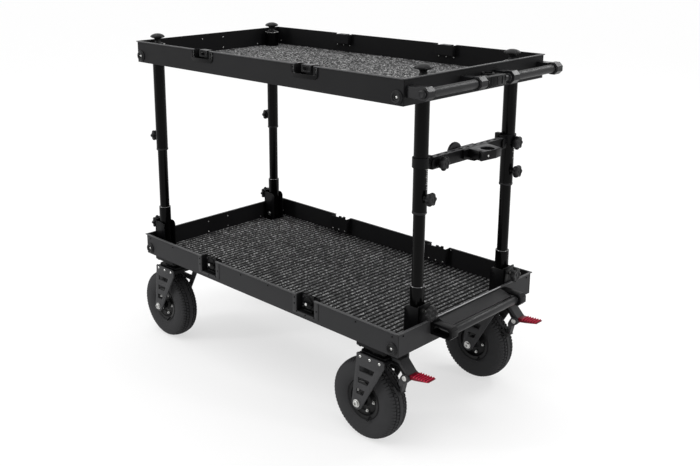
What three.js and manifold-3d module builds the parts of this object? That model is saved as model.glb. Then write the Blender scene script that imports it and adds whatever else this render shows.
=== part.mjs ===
// Camera cart: two sheet-metal trays on four telescopic legs, four swivel casters, a push handle,
// a cross bar with a ring holder and a small shelf at the handle end. Millimetres, +Z up.
// +X runs along the cart to the handle end, -Y is the front long side, the floor is at Z = 0.
import * as THREE from "three";
import { mergeVertices } from "three/addons/utils/BufferGeometryUtils.js";
import Module from "manifold-3d";

const wasm = await Module();
wasm.setup();

// Driving sizes of the whole cart
const TRAY_LENGTH = 1085;
const TRAY_WIDTH = 600;
const TRAY_HEIGHT = 66.5;
const UPPER_TRAY_TOP = 997;
const LOWER_TRAY_TOP = 357;
const CLEARANCE = 0.3; // between pieces that touch or slide
const OVERRUN = 5; // how far a cutting tool runs past the face that it opens

// Trays and carpets
const WALL = 3;
const FLOOR = 3;
const RIM_REACH = 4;
const RIM_THICKNESS = 4;
const CARPET_THICKNESS = 4;
const CARPET_MARGIN = 1;
const BUMPER_RADIUS = 17.5;
const BUMPER_LENGTH = 7;
const BUMPER_END_INSET = 19;
const BUMPER_HEIGHT = 20.5; // centre above the tray's underside

// Latches that hold the trays together when they are stacked for transport
const LATCH_X = 213;
const LATCH_PLATE_WIDTH = 100;
const LATCH_PLATE_THICKNESS = 1.5;
const DISH_WIDTH = 70;
const DISH_DEPTH = 20;
const DISH_WALL = 2;
const DECK_DISH_HEIGHT = 50; // below the lower tray's rim
const DECK_PLATE_HEIGHT = 57;
const STRIKE_DISH_HEIGHT = 30; // below the upper tray's rim
const STRIKE_PLATE_HEIGHT = 36;
const STRIKE_WIDTH = 36;
const STRIKE_HEIGHT = 20;
const STRIKE_THICKNESS = 3;
const STRIKE_OFFSET = 6;
const LATCH_BASE_WIDTH = 52;
const LATCH_BASE_HEIGHT = 38;
const LATCH_BASE_THICKNESS = 8;
const LATCH_DROP = 22; // turning axis below the rim
const LATCH_DISC_RADIUS = 17;
const LATCH_DISC_THICKNESS = 3;
const LATCH_WING_WIDTH = 6;
const LATCH_WING_HEIGHT = 6;
const LATCH_SPINDLE_RADIUS = 4;

// Legs
const LEG_END_INSET = 30; // leg axis from the tray's end face
const LEFT_LEG_SIDE_INSET = 56;
const RIGHT_LEG_SIDE_INSET = 109; // further in, so that folded legs lie beside the left ones
const OUTER_TUBE_RADIUS = 18.5;
const OUTER_TUBE_WALL = 2.5;
const OUTER_TUBE_LENGTH = 344;
const INNER_TUBE_RADIUS = 15.6;
const INNER_TUBE_WALL = 2.5;
const INNER_TUBE_REACH = 127; // length of inner tube hidden inside the outer one at rest
const SOCKET_RADIUS = 19;
const SOCKET_TOP = 448;
const SOCKET_FOOT_GAP = 3;
const TUBE_SIDES = 16;
const TUBE_TOP_DROP = 13; // outer tube's top below the upper tray's rim
const TUBE_PLUG_LENGTH = 24;
const HEIGHT_HOLE_RADIUS = 4;
const HEIGHT_HOLE_PITCH = 48;
const HEIGHT_HOLE_COUNT = 4;
const HEIGHT_KNOB_RISE = 43; // knob axis above the outer tube's lower end
const SLEEVE_RADIUS = 23;
const SLEEVE_TOP_DROP = 12;
const SLEEVE_GAP = 0.7;

// Fold brackets at the feet of the legs
const BRACKET_SHEET = 4;
const BRACKET_EAR_TOP = 396;
const BRACKET_WEB_TOP = 402;
const BRACKET_INNER_REACH = 22.6; // from the leg's axis towards the middle of the cart
const BRACKET_ROUND = 14;
const BRACKET_CARPET_GAP = 2;
const FOLD_PIN_RADIUS = 6;
const FOLD_PIN_HEIGHT = 24; // above the bracket's foot
const FOLD_PIN_HEAD_RADIUS = 9;
const FOLD_PIN_HEAD = 4;

// Knobs
const STAR_LOBES = 6;
const STAR_STEPS = 4;
const STAR_NOTCH = 3.2;
const KNOB_STEM_RADIUS = 5;
const HEIGHT_KNOB_RADIUS = 18.5;
const HEIGHT_KNOB_THICKNESS = 16;
const HEIGHT_KNOB_BOSS_RADIUS = 9;
const HEIGHT_KNOB_BOSS_LENGTH = 6;
const HEIGHT_KNOB_STANDOFF = 2;
const FOLD_KNOB_RADIUS = 22;
const FOLD_KNOB_THICKNESS = 14;
const FOLD_KNOB_HEIGHT = 26; // axis above the lower tray's rim
const FOLD_KNOB_OVERHANG = 10; // from the tray's end face
const SHELF_KNOB_RADIUS = 23;
const SHELF_KNOB_RISE = 6; // cap's lower edge above the rim
const SHELF_KNOB_EDGE = 6;
const SHELF_KNOB_CROWN = 15;
const SHELF_KNOB_NECK_RADIUS = 9;
const SHELF_KNOB_WASHER_RADIUS = 19;
const SHELF_KNOB_WASHER = 3;
const SHELF_KNOB_STEM_RADIUS = 8;
const SHELF_KNOB_STEM_DEPTH = 20; // into the tube's plug
const KNOB_SIDES = 14;
const SMALL_SIDES = 8; // pins, stems and their bores
const BOLT_SIDES = 6;

// Casters
const SWIVEL_END_INSET = 92.5;
const SWIVEL_SIDE_INSET = 52.5;
const CASTER_TRAIL = 44;
const TYRE_RADIUS = 114;
const TYRE_WIDTH = 68;
const TYRE_TREAD_WIDTH = 30;
const TYRE_WALL = 8;
const TYRE_SIDES = 24;
const RIM_SEAT_RADIUS = 47;
const RIM_FLANGE_RADIUS = 54;
const RIM_WIDTH = 52;
const RIM_FLANGE = 4;
const RIM_SHEET = 4;
const RIM_DISC = 8;
const HUB_RADIUS = 19;
const HUB_WIDTH = 78;
const RIM_SIDES = 16;
const AXLE_RADIUS = 6;
const AXLE_NUT_RADIUS = 10;
const AXLE_NUT = 8;
const FORK_OUTER_HALF = 52.5;
const FORK_SHEET = 5;
const FORK_TOP = 261;
const FORK_SHOULDER_DROP = 20;
const FORK_LEFT = 47;
const FORK_RIGHT = 46;
const FORK_TIP_RADIUS = 18;
const FORK_SLOT_TOP = 225.5;
const FORK_SLOT_HEIGHT = 16;
const FORK_SLOT_PITCH = 34;
const FORK_SLOT_LEFT = 36;
const FORK_SLOT_LEFT_STEP = 4.5;
const FORK_SLOT_RIGHT = 16.5;
const FORK_SLOT_RIGHT_STEP = 16;
const FORK_SLOT_SLANT = 8; // of the right end, beside the plate's edge
const FORK_BOLT_PITCH = 33;
const FORK_BOLT_DROP = 8;
const FORK_BOLT_RADIUS = 4;
const FORK_BOLT_HEAD = 2.5;
const CROWN_TOP = 265;
const CROWN_THICKNESS = 20;
const SWIVEL_RADIUS = 34;
const BASE_PLATE_THICKNESS = 9;
const BASE_PLATE_LENGTH = 116;
const BASE_PLATE_WIDTH = 100;
const BASE_BOLT_INSET = 10;
const BASE_BOLT_RADIUS = 6;
const BASE_BOLT_HEAD = 5;
const KINGPIN_RADIUS = 8;
const KINGPIN_RISE = 6;

// Brake on the two casters of the handle end; X from the swivel axis, Z from the floor
const BRAKE_PIVOT_X = 91;
const BRAKE_PIVOT_Z = 224;
const BRAKE_ARM_INNER = 14;
const BRAKE_ARM_SHEET = 4;
const BRAKE_CHEEK_SHEET = 3;
const BRAKE_PIN_RADIUS = 5;
const BRAKE_PIN_HEAD = 3;
const BRAKE_PIN_HEAD_RADIUS = 7;
const BRAKE_HUB_RADIUS = 9;
const PEDAL_TIP_X = 162;
const PEDAL_TIP_Z = 240;
const PEDAL_HALF_WIDTH = 15;
const PEDAL_THICKNESS = 9;
const BRAKE_TRAVEL = 10; // degrees from off to on
const PAD_GAP = 0.5; // to the tyre with the brake on
const PAD_THICKNESS = 10;
const PAD_ANGLE = 32; // degrees above the horizontal through the axle
const PAD_SPAN = 10; // degrees of tyre that the pad covers

// Cross bar between the legs of the handle end
const CROSSBAR_RISE = 139; // bar's top above the outer tubes' lower ends
const CROSSBAR_HEIGHT = 31;
const CROSSBAR_HALF_THICKNESS = 10;
const CROSSBAR_HOLE_RADIUS = 4;
const CROSSBAR_HOLE_PITCH = 40;
const CROSSBAR_HOLES = 7;
const CLAMP_RADIUS = 22;
const CLAMP_GAP = 0.4;
const CLAMP_HEIGHT = 26.5;
const CLAMP_RISE = 9; // of the rings' middle above the bar's middle
const CLAMP_NECK = 12; // from the ring's bore to the end of the bar
const CLAMP_NECK_HALF = 11;
const CLAMP_TONGUE = 48; // length along the bar's outer face
const CLAMP_TONGUE_SHEET = 4;
const CLAMP_TONGUE_HEIGHT = 25;
const CLAMP_KNOB_RADIUS = 18.5;
const CLAMP_KNOB_THICKNESS = 15;
const CLAMP_KNOB_SETBACK = 25; // of the front knob from the bar's end
const CLAMP_EAR_BACK = 21; // from the bar's middle plane towards the middle of the cart
const CLAMP_EAR_FRONT = 6;
const CLAMP_EAR_LENGTH = 14;
const CLAMP_EAR_RISE = 11; // above the bar
const CLAMP_BOSS_RADIUS = 8;
const CLAMP_BOSS_LENGTH = 5;
const CLAMP_BACK_BOSS_LENGTH = 1;
const CLAMP_BOSS_STANDOFF = 2; // of the back clamp's boss from the tube inside its ring
const HOLDER_HEIGHT = 24;
const HOLDER_START = -12;
const HOLDER_END = 75;
const HOLDER_REACH = 70; // from the bar's middle plane
const HOLDER_NOSE_Y = -24;
const HOLDER_RING_X = 47;
const HOLDER_RING_Y = 25;
const HOLDER_HOLE_RADIUS = 19;
const HOLDER_RING_WALL = 7;
const HOLDER_FLANGE_START = -34; // of the plates before and behind the bar
const HOLDER_JAW_SHEET = 6;
const HOLDER_JAW_START = 12; // of the jaw under the bar
const HOLDER_JAW_END = 48;
const HOLDER_KNOB_Y = -20;
const HOLDER_KNOB_RADIUS = 28;
const HOLDER_KNOB_THICKNESS = 9;
const HOLDER_KNOB_STANDOFF = 4;

// Push handle on the upper tray
const HANDLE_REACH = 49.5; // bar's axis from the tray's end face
const HANDLE_DROP = 32; // bar's axis below the rim
const HANDLE_BAR_RADIUS = 8;
const HANDLE_COLLAR_RADIUS = 18;
const HANDLE_COLLAR_THICKNESS = 27;
const HANDLE_OUTER_COLLAR = 278;
const HANDLE_INNER_COLLAR = 70.5;
const HANDLE_ARM_HALF_HEIGHT = 14;
const HANDLE_BOSS_RADIUS = 10.5;
const HANDLE_BOSS = 6;
const GRIP_RADIUS = 11.5;
const GRIP_GAP = 0.3;
const RING_BLOCK_BACK = 20; // from the bar's axis towards the tray
const RING_BLOCK_FRONT = 12;
const RING_BLOCK_HALF_HEIGHT = 13;
const RING_BLOCK_END = 30; // the block stops short of the back inner collar
const RING_HOLE_RADIUS = 13;
const RING_WALL = 4.5;
const RING_RISE = 3;

// Small shelf at the lower tray's handle end
const END_SHELF_HALF_WIDTH = 142.5; // between the arms
const END_ARM_SHEET = 28;
const END_BAR_REACH = 50.5;
const END_BAR_DROP = 25; // bar's axis below the rim
const END_BAR_RADIUS = 11;
const END_ARM_HALF_HEIGHT = 16.5;
const END_ARM_NOSE = 18; // past the bar's axis
const END_ARM_CHAMFER = 8;
const END_SLOT_RADIUS = 9.5;
const END_SLOT_START = 15; // from the tray's end face
const END_SLOT_LENGTH = 36;
const END_PLATE_SHEET = 3;

// Worked-out levels and places
const HALF_LENGTH = TRAY_LENGTH / 2;
const HALF_WIDTH = TRAY_WIDTH / 2;
const UPPER_TRAY_BASE = UPPER_TRAY_TOP - TRAY_HEIGHT;
const LOWER_TRAY_BASE = LOWER_TRAY_TOP - TRAY_HEIGHT;
const LEG_X = HALF_LENGTH - LEG_END_INSET;
const LEFT_LEG_Y = HALF_WIDTH - LEFT_LEG_SIDE_INSET;
const RIGHT_LEG_Y = HALF_WIDTH - RIGHT_LEG_SIDE_INSET;
const OUTER_TUBE_TOP = UPPER_TRAY_TOP - TUBE_TOP_DROP;
const OUTER_TUBE_BOTTOM = OUTER_TUBE_TOP - OUTER_TUBE_LENGTH;
const CROSSBAR_TOP = OUTER_TUBE_BOTTOM + CROSSBAR_RISE;
const INNER_TUBE_TOP = OUTER_TUBE_BOTTOM + INNER_TUBE_REACH;
const BRACKET_FOOT = LOWER_TRAY_BASE + FLOOR + CLEARANCE;
const SOCKET_FOOT = BRACKET_FOOT + BRACKET_SHEET + SOCKET_FOOT_GAP;
const SLEEVE_TOP = UPPER_TRAY_TOP - SLEEVE_TOP_DROP;
const SWIVEL_X = HALF_LENGTH - SWIVEL_END_INSET;
const SWIVEL_Y = HALF_WIDTH - SWIVEL_SIDE_INSET;
const AXLE_Z = TYRE_RADIUS * Math.cos(Math.PI / TYRE_SIDES); // a flat of the tyre lies on the floor
const HANDLE_X = HALF_LENGTH + HANDLE_REACH;
const HANDLE_Z = UPPER_TRAY_TOP - HANDLE_DROP;
const END_BAR_X = HALF_LENGTH + END_BAR_REACH;
const END_BAR_Z = LOWER_TRAY_TOP - END_BAR_DROP;
const CROSSBAR_Z = CROSSBAR_TOP - CROSSBAR_HEIGHT / 2;
const CROSSBAR_HALF_LENGTH = RIGHT_LEG_Y - CLAMP_RADIUS - CLAMP_NECK;
const DEGREE = Math.PI / 180;

const LEGS = [
  { name: "front_left", x: -LEG_X, y: -LEFT_LEG_Y, out: -1 },
  { name: "back_left", x: -LEG_X, y: LEFT_LEG_Y, out: -1 },
  { name: "front_right", x: LEG_X, y: -RIGHT_LEG_Y, out: 1 },
  { name: "back_right", x: LEG_X, y: RIGHT_LEG_Y, out: 1 },
];
const CASTERS = [
  { name: "front_left", x: -SWIVEL_X, y: -SWIVEL_Y, brake: false },
  { name: "back_left", x: -SWIVEL_X, y: SWIVEL_Y, brake: false },
  { name: "front_right", x: SWIVEL_X, y: -SWIVEL_Y, brake: true },
  { name: "back_right", x: SWIVEL_X, y: SWIVEL_Y, brake: true },
];

// Finishes
function finish(color, roughness, metalness) {
  return new THREE.MeshStandardMaterial({ color, roughness, metalness });
}
const finishes = {
  sheet: finish(0x2d2d2e, 0.55, 0.3), // powder-coated sheet metal
  deck: finish(0x3a3a3b, 0.55, 0.3),
  tube: finish(0x141415, 0.35, 0.6), // black anodised tube
  plate: finish(0x232324, 0.5, 0.5), // black machined brackets and fork plates
  knob: finish(0x1f1f20, 0.6, 0), // moulded plastic
  grip: finish(0x2a2a2b, 0.85, 0), // foam rubber
  rubber: finish(0x1c1c1d, 0.8, 0),
  rim: finish(0x18181a, 0.5, 0.2),
  carpet: finish(0x4b4b4c, 0.98, 0),
  pedal: finish(0x8f1a2d, 0.45, 0),
  latch: finish(0x1a1a1b, 0.4, 0.6),
};

// Geometry helpers: solids for joining and cutting
function solid(geometry) {
  geometry.deleteAttribute("normal");
  geometry.deleteAttribute("uv");
  const merged = mergeVertices(geometry, 1e-4);
  return new wasm.Manifold(
    new wasm.Mesh({
      numProp: 3,
      vertProperties: new Float32Array(merged.attributes.position.array),
      triVerts: new Uint32Array(merged.index.array),
    }),
  );
}

function join(...parts) {
  return parts.reduce((whole, part) => whole.add(part));
}

function cut(whole, ...tools) {
  return tools.reduce((left, tool) => left.subtract(tool), whole);
}

function block(xs, ys, zs) {
  const middle = ([a, b]) => (a + b) / 2;
  const size = ([a, b]) => Math.abs(b - a);
  const geometry = new THREE.BoxGeometry(size(xs), size(ys), size(zs));
  return solid(geometry.translate(middle(xs), middle(ys), middle(zs)));
}

// Turns a shape drawn in X and Y, with its depth along Z, so that its depth lies along an axis.
const TURN = {
  x: new THREE.Matrix4().makeBasis(
    new THREE.Vector3(0, 1, 0),
    new THREE.Vector3(0, 0, 1),
    new THREE.Vector3(1, 0, 0),
  ),
  y: new THREE.Matrix4().makeBasis(
    new THREE.Vector3(1, 0, 0),
    new THREE.Vector3(0, 0, 1),
    new THREE.Vector3(0, -1, 0),
  ),
  z: new THREE.Matrix4(),
};

// A prism on a shape in the two other axes, in X, Y, Z order, from one level to another along axis.
function prism(axis, shape, from, to, curveSegments = 3) {
  const low = Math.min(from, to);
  const depth = Math.abs(to - from);
  const geometry = new THREE.ExtrudeGeometry(shape, { depth, bevelEnabled: false, curveSegments });
  const start = axis === "y" ? -(low + depth) : low;
  return solid(geometry.translate(0, 0, start).applyMatrix4(TURN[axis]));
}

function polygon(points) {
  return new THREE.Shape(points.map(([u, v]) => new THREE.Vector2(u, v)));
}

// A round bar along an axis, centred at (u, v) in the two other axes, in X, Y, Z order.
function bar(axis, radius, from, to, u = 0, v = 0, sides = TUBE_SIDES) {
  const points = [];
  for (let i = 0; i < sides; i++) {
    const angle = ((i + 0.5) / sides) * 2 * Math.PI;
    points.push([u + radius * Math.cos(angle), v + radius * Math.sin(angle)]);
  }
  return prism(axis, polygon(points), from, to);
}

// Radius of a faceted bore whose flats clear a pin that turns in it.
function turningBore(pinRadius, sides = SMALL_SIDES) {
  return (pinRadius + CLEARANCE) / Math.cos(Math.PI / sides);
}

function tube(axis, radius, bore, from, to, u = 0, v = 0, sides = TUBE_SIDES) {
  const hole = bar(axis, bore, from - OVERRUN, to + OVERRUN, u, v, sides);
  return cut(bar(axis, radius, from, to, u, v, sides), hole);
}

// A turned piece: its profile runs in (radius, height) and turns about the given axis.
function turned(axis, profile, sides) {
  const points = profile.map(([r, h]) => new THREE.Vector2(r, h));
  const geometry = new THREE.LatheGeometry(points, sides, Math.PI / sides);
  if (axis === "z") geometry.rotateX(Math.PI / 2);
  return solid(geometry);
}

function star(axis, radius, from, to) {
  const steps = STAR_LOBES * STAR_STEPS;
  const points = [];
  for (let i = 0; i < steps; i++) {
    const angle = (i / steps) * 2 * Math.PI;
    const r = radius - (STAR_NOTCH * (1 - Math.cos(STAR_LOBES * angle))) / 2;
    points.push([r * Math.cos(angle), r * Math.sin(angle)]);
  }
  return prism(axis, polygon(points), from, to);
}

function roundedBox(x0, x1, y0, y1, radius) {
  const shape = new THREE.Shape();
  shape.moveTo(x0 + radius, y0);
  shape.lineTo(x1 - radius, y0);
  shape.absarc(x1 - radius, y0 + radius, radius, -Math.PI / 2, 0, false);
  shape.lineTo(x1, y1 - radius);
  shape.absarc(x1 - radius, y1 - radius, radius, 0, Math.PI / 2, false);
  shape.lineTo(x0 + radius, y1);
  shape.absarc(x0 + radius, y1 - radius, radius, Math.PI / 2, Math.PI, false);
  shape.lineTo(x0, y0 + radius);
  shape.absarc(x0 + radius, y0 + radius, radius, Math.PI, 1.5 * Math.PI, false);
  return shape;
}

// The cart, with its origin on the floor below the middle of its overall box
const cart = new THREE.Group();
cart.name = "camera_cart";
const reachRight = HANDLE_X + HANDLE_COLLAR_RADIUS * Math.cos(Math.PI / 8);
const reachLeft = SWIVEL_X + CASTER_TRAIL + AXLE_Z;
cart.position.x = (reachLeft - reachRight) / 2;

function piece(name, shape, material, group = cart) {
  const mesh = shape.getMesh();
  const geometry = new THREE.BufferGeometry();
  geometry.setAttribute("position", new THREE.BufferAttribute(mesh.vertProperties, 3));
  geometry.setIndex(new THREE.BufferAttribute(mesh.triVerts, 1));
  geometry.computeVertexNormals();
  const made = new THREE.Mesh(geometry, material);
  made.name = name;
  group.add(made);
  return made;
}

function place(x, y, z = 0) {
  const group = new THREE.Group();
  group.position.set(x, y, z);
  cart.add(group);
  return group;
}

// Trays
function pan(top) {
  const base = top - TRAY_HEIGHT;
  const outside = block([-HALF_LENGTH, HALF_LENGTH], [-HALF_WIDTH, HALF_WIDTH], [base, top]);
  const rim = block(
    [-HALF_LENGTH - RIM_REACH, HALF_LENGTH + RIM_REACH],
    [-HALF_WIDTH - RIM_REACH, HALF_WIDTH + RIM_REACH],
    [top - RIM_THICKNESS, top],
  );
  const hollow = block(
    [WALL - HALF_LENGTH, HALF_LENGTH - WALL],
    [WALL - HALF_WIDTH, HALF_WIDTH - WALL],
    [base + FLOOR, top + OVERRUN],
  );
  return cut(join(outside, rim), hollow);
}

function bumpers(base) {
  const made = [];
  for (const side of [-1, 1]) {
    for (const end of [-1, 1]) {
      const x = end * (HALF_LENGTH - BUMPER_END_INSET);
      const face = side * HALF_WIDTH;
      const tip = side * (HALF_WIDTH + BUMPER_LENGTH);
      made.push(bar("y", BUMPER_RADIUS, face, tip, x, base + BUMPER_HEIGHT, KNOB_SIDES));
    }
  }
  return made;
}

// A recess in a long wall, open to the outside and to the top, with a plate round it outside.
function recess(tray, top, dishHeight, plateHeight, x, side) {
  const half = DISH_WIDTH / 2;
  const outer = side * HALF_WIDTH;
  const inner = side * (HALF_WIDTH - DISH_DEPTH);
  const plate = block(
    [x - LATCH_PLATE_WIDTH / 2, x + LATCH_PLATE_WIDTH / 2],
    [outer, outer + side * LATCH_PLATE_THICKNESS],
    [top - plateHeight, top - RIM_THICKNESS],
  );
  const shell = block(
    [x - half - DISH_WALL, x + half + DISH_WALL],
    [outer, inner - side * DISH_WALL],
    [top - dishHeight - DISH_WALL, top],
  );
  const opening = block(
    [x - half, x + half],
    [outer + side * (RIM_REACH + OVERRUN), inner],
    [top - dishHeight, top + OVERRUN],
  );
  return cut(join(tray, plate, shell), opening);
}

function eachLatchPlace(action) {
  for (const side of [-1, 1]) {
    for (const end of [-1, 1]) action(end * LATCH_X, side, end);
  }
}

function upperTray() {
  let tray = join(pan(UPPER_TRAY_TOP), ...bumpers(UPPER_TRAY_BASE));
  eachLatchPlace((x, side) => {
    tray = recess(tray, UPPER_TRAY_TOP, STRIKE_DISH_HEIGHT, STRIKE_PLATE_HEIGHT, x, side);
    const centre = x + STRIKE_OFFSET;
    const front = side * (HALF_WIDTH - WALL);
    const strike = join(
      block(
        [centre - STRIKE_WIDTH / 2, centre + STRIKE_WIDTH / 2],
        [front, front + side * STRIKE_THICKNESS],
        [UPPER_TRAY_TOP - STRIKE_HEIGHT, UPPER_TRAY_TOP],
      ),
      block(
        [centre - STRIKE_WIDTH / 2, centre + STRIKE_WIDTH / 2],
        [front, side * (HALF_WIDTH - DISH_DEPTH - DISH_WALL)],
        [UPPER_TRAY_TOP - STRIKE_THICKNESS, UPPER_TRAY_TOP],
      ),
    );
    tray = join(tray, strike);
  });
  for (const leg of LEGS) {
    const sleeve = bar("z", SLEEVE_RADIUS, UPPER_TRAY_BASE, SLEEVE_TOP, leg.x, leg.y);
    const bore = OUTER_TUBE_RADIUS + SLEEVE_GAP;
    const low = UPPER_TRAY_BASE - OVERRUN;
    tray = cut(join(tray, sleeve), bar("z", bore, low, SLEEVE_TOP + OVERRUN, leg.x, leg.y));
  }
  return tray;
}

function casterBase({ x, y }) {
  const top = LOWER_TRAY_BASE;
  const low = top - BASE_PLATE_THICKNESS;
  const halfX = BASE_PLATE_WIDTH / 2;
  const halfY = BASE_PLATE_LENGTH / 2;
  const inwardY = y > 0 ? halfY - (y + halfY - HALF_WIDTH) : halfY;
  const inwardNegativeY = y < 0 ? halfY + (y - halfY + HALF_WIDTH) : halfY;
  let plate = block([x - halfX, x + halfX], [y - inwardNegativeY, y + inwardY], [low, top]);
  for (const dx of [-1, 1]) {
    for (const dy of [-1, 1]) {
      const boltX = x + dx * (halfX - BASE_BOLT_INSET);
      const reach = dy > 0 ? inwardY : inwardNegativeY;
      const boltY = y + dy * (reach - BASE_BOLT_INSET);
      plate = join(plate, bar("z", BASE_BOLT_RADIUS, low - BASE_BOLT_HEAD, low, boltX, boltY, 6));
    }
  }
  return plate;
}

function lowerTray() {
  let tray = join(pan(LOWER_TRAY_TOP), ...bumpers(LOWER_TRAY_BASE), ...CASTERS.map(casterBase));
  eachLatchPlace((x, side) => {
    tray = recess(tray, LOWER_TRAY_TOP, DECK_DISH_HEIGHT, DECK_PLATE_HEIGHT, x, side);
    const back = side * (HALF_WIDTH - DISH_DEPTH);
    const z = LOWER_TRAY_TOP - LATCH_DROP;
    const base = block(
      [x - LATCH_BASE_WIDTH / 2, x + LATCH_BASE_WIDTH / 2],
      [back, back + side * LATCH_BASE_THICKNESS],
      [z - LATCH_BASE_HEIGHT / 2, z + LATCH_BASE_HEIGHT / 2],
    );
    const seat = turningBore(LATCH_SPINDLE_RADIUS);
    const hole = bar(
      "y",
      seat,
      ...span(back - side * DISH_WALL / 2, back + side * (LATCH_BASE_THICKNESS + OVERRUN)),
      x,
      z,
      SMALL_SIDES,
    );
    tray = cut(join(tray, base), hole);
  });
  for (const { x, y } of CASTERS) {
    const low = LOWER_TRAY_BASE - BASE_PLATE_THICKNESS - OVERRUN;
    const high = LOWER_TRAY_BASE;
    tray = cut(tray, bar("z", turningBore(KINGPIN_RADIUS), low, high, x, y, SMALL_SIDES));
  }
  return tray;
}

function span(a, b) {
  return [Math.min(a, b), Math.max(a, b)];
}

function carpetSheet(base, dishHoles) {
  const low = base + FLOOR + CLEARANCE;
  const sheet = block(
    [WALL + CARPET_MARGIN - HALF_LENGTH, HALF_LENGTH - WALL - CARPET_MARGIN],
    [WALL + CARPET_MARGIN - HALF_WIDTH, HALF_WIDTH - WALL - CARPET_MARGIN],
    [low, low + CARPET_THICKNESS],
  );
  return cut(sheet, ...dishHoles);
}

function upperCarpet() {
  const high = UPPER_TRAY_BASE + TRAY_HEIGHT;
  const holes = LEGS.map(({ x, y }) =>
    bar("z", SLEEVE_RADIUS + CARPET_MARGIN, UPPER_TRAY_BASE, high, x, y),
  );
  return carpetSheet(UPPER_TRAY_BASE, holes);
}

function lowerCarpet() {
  const halfBracket = SOCKET_RADIUS + CLEARANCE + BRACKET_SHEET + FOLD_PIN_HEAD + BRACKET_CARPET_GAP;
  const holes = LEGS.map(({ x, y, out }) =>
    block(
      [x - out * (BRACKET_INNER_REACH + BRACKET_CARPET_GAP), out * (HALF_LENGTH + OVERRUN)],
      [y - halfBracket, y + halfBracket],
      [LOWER_TRAY_BASE, LOWER_TRAY_TOP],
    ),
  );
  return carpetSheet(LOWER_TRAY_BASE, holes);
}

piece("upper_tray", upperTray(), finishes.sheet);
piece("lower_tray", lowerTray(), finishes.deck);
piece("upper_carpet", upperCarpet(), finishes.carpet);
piece("lower_carpet", lowerCarpet(), finishes.carpet);

// Turning butterfly handles in the lower tray's dishes
eachLatchPlace((x, side, end) => {
  const name = `${side < 0 ? "front" : "back"}_${end < 0 ? "left" : "right"}`;
  const face = side * (DISH_DEPTH - LATCH_BASE_THICKNESS - CLEARANCE);
  const group = place(x, side * HALF_WIDTH, LOWER_TRAY_TOP - LATCH_DROP);
  const disc = -face;
  const outer = disc + side * LATCH_DISC_THICKNESS;
  const spindle = disc - side * (LATCH_BASE_THICKNESS - CLEARANCE);
  const handle = join(
    bar("y", LATCH_DISC_RADIUS, ...span(disc, outer), 0, 0, KNOB_SIDES),
    bar("y", LATCH_SPINDLE_RADIUS, ...span(spindle, disc), 0, 0, SMALL_SIDES),
    block(
      [-LATCH_DISC_RADIUS, LATCH_DISC_RADIUS],
      [outer, outer + side * LATCH_WING_HEIGHT],
      [-LATCH_WING_WIDTH / 2, LATCH_WING_WIDTH / 2],
    ),
  );
  piece(`deck_latch_${name}`, handle, finishes.latch, group);
});

// Legs, each with its fold bracket and knobs
function innerTube(out) {
  const pinZ = BRACKET_FOOT + FOLD_PIN_HEIGHT;
  let leg = tube(
    "z",
    INNER_TUBE_RADIUS,
    INNER_TUBE_RADIUS - INNER_TUBE_WALL,
    SOCKET_FOOT,
    INNER_TUBE_TOP,
  );
  leg = join(
    leg,
    tube("z", SOCKET_RADIUS, INNER_TUBE_RADIUS - INNER_TUBE_WALL, SOCKET_FOOT, SOCKET_TOP),
  );
  const pinHole = FOLD_PIN_RADIUS + CLEARANCE;
  leg = cut(leg, bar("y", pinHole, -SLEEVE_RADIUS, SLEEVE_RADIUS, 0, pinZ, SMALL_SIDES));
  for (let i = 0; i < HEIGHT_HOLE_COUNT; i++) {
    const z = OUTER_TUBE_BOTTOM + HEIGHT_KNOB_RISE - (i + 1) * HEIGHT_HOLE_PITCH;
    leg = cut(leg, bar("x", HEIGHT_HOLE_RADIUS, ...span(0, out * SLEEVE_RADIUS), 0, z, BOLT_SIDES));
  }
  return leg;
}

function outerTube(out) {
  const knobZ = OUTER_TUBE_BOTTOM + HEIGHT_KNOB_RISE;
  const bore = OUTER_TUBE_RADIUS - OUTER_TUBE_WALL;
  const bossEnd = OUTER_TUBE_RADIUS + HEIGHT_KNOB_BOSS_LENGTH;
  const boss = bar("x", HEIGHT_KNOB_BOSS_RADIUS, ...span(out * bore, out * bossEnd), 0, knobZ, SMALL_SIDES);
  let leg = join(bar("z", OUTER_TUBE_RADIUS, OUTER_TUBE_BOTTOM, OUTER_TUBE_TOP), boss);
  const plugBase = OUTER_TUBE_TOP - TUBE_PLUG_LENGTH;
  leg = cut(leg, bar("z", bore, OUTER_TUBE_BOTTOM - OVERRUN, plugBase));
  const stemBore = SHELF_KNOB_STEM_RADIUS + CLEARANCE;
  leg = cut(leg, bar("z", stemBore, plugBase - OVERRUN, OUTER_TUBE_TOP + OVERRUN));
  const knobBore = turningBore(KNOB_STEM_RADIUS);
  const boreEnd = out * (bossEnd + OVERRUN);
  return cut(leg, bar("x", knobBore, ...span(0, boreEnd), 0, knobZ, SMALL_SIDES));
}

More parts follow.
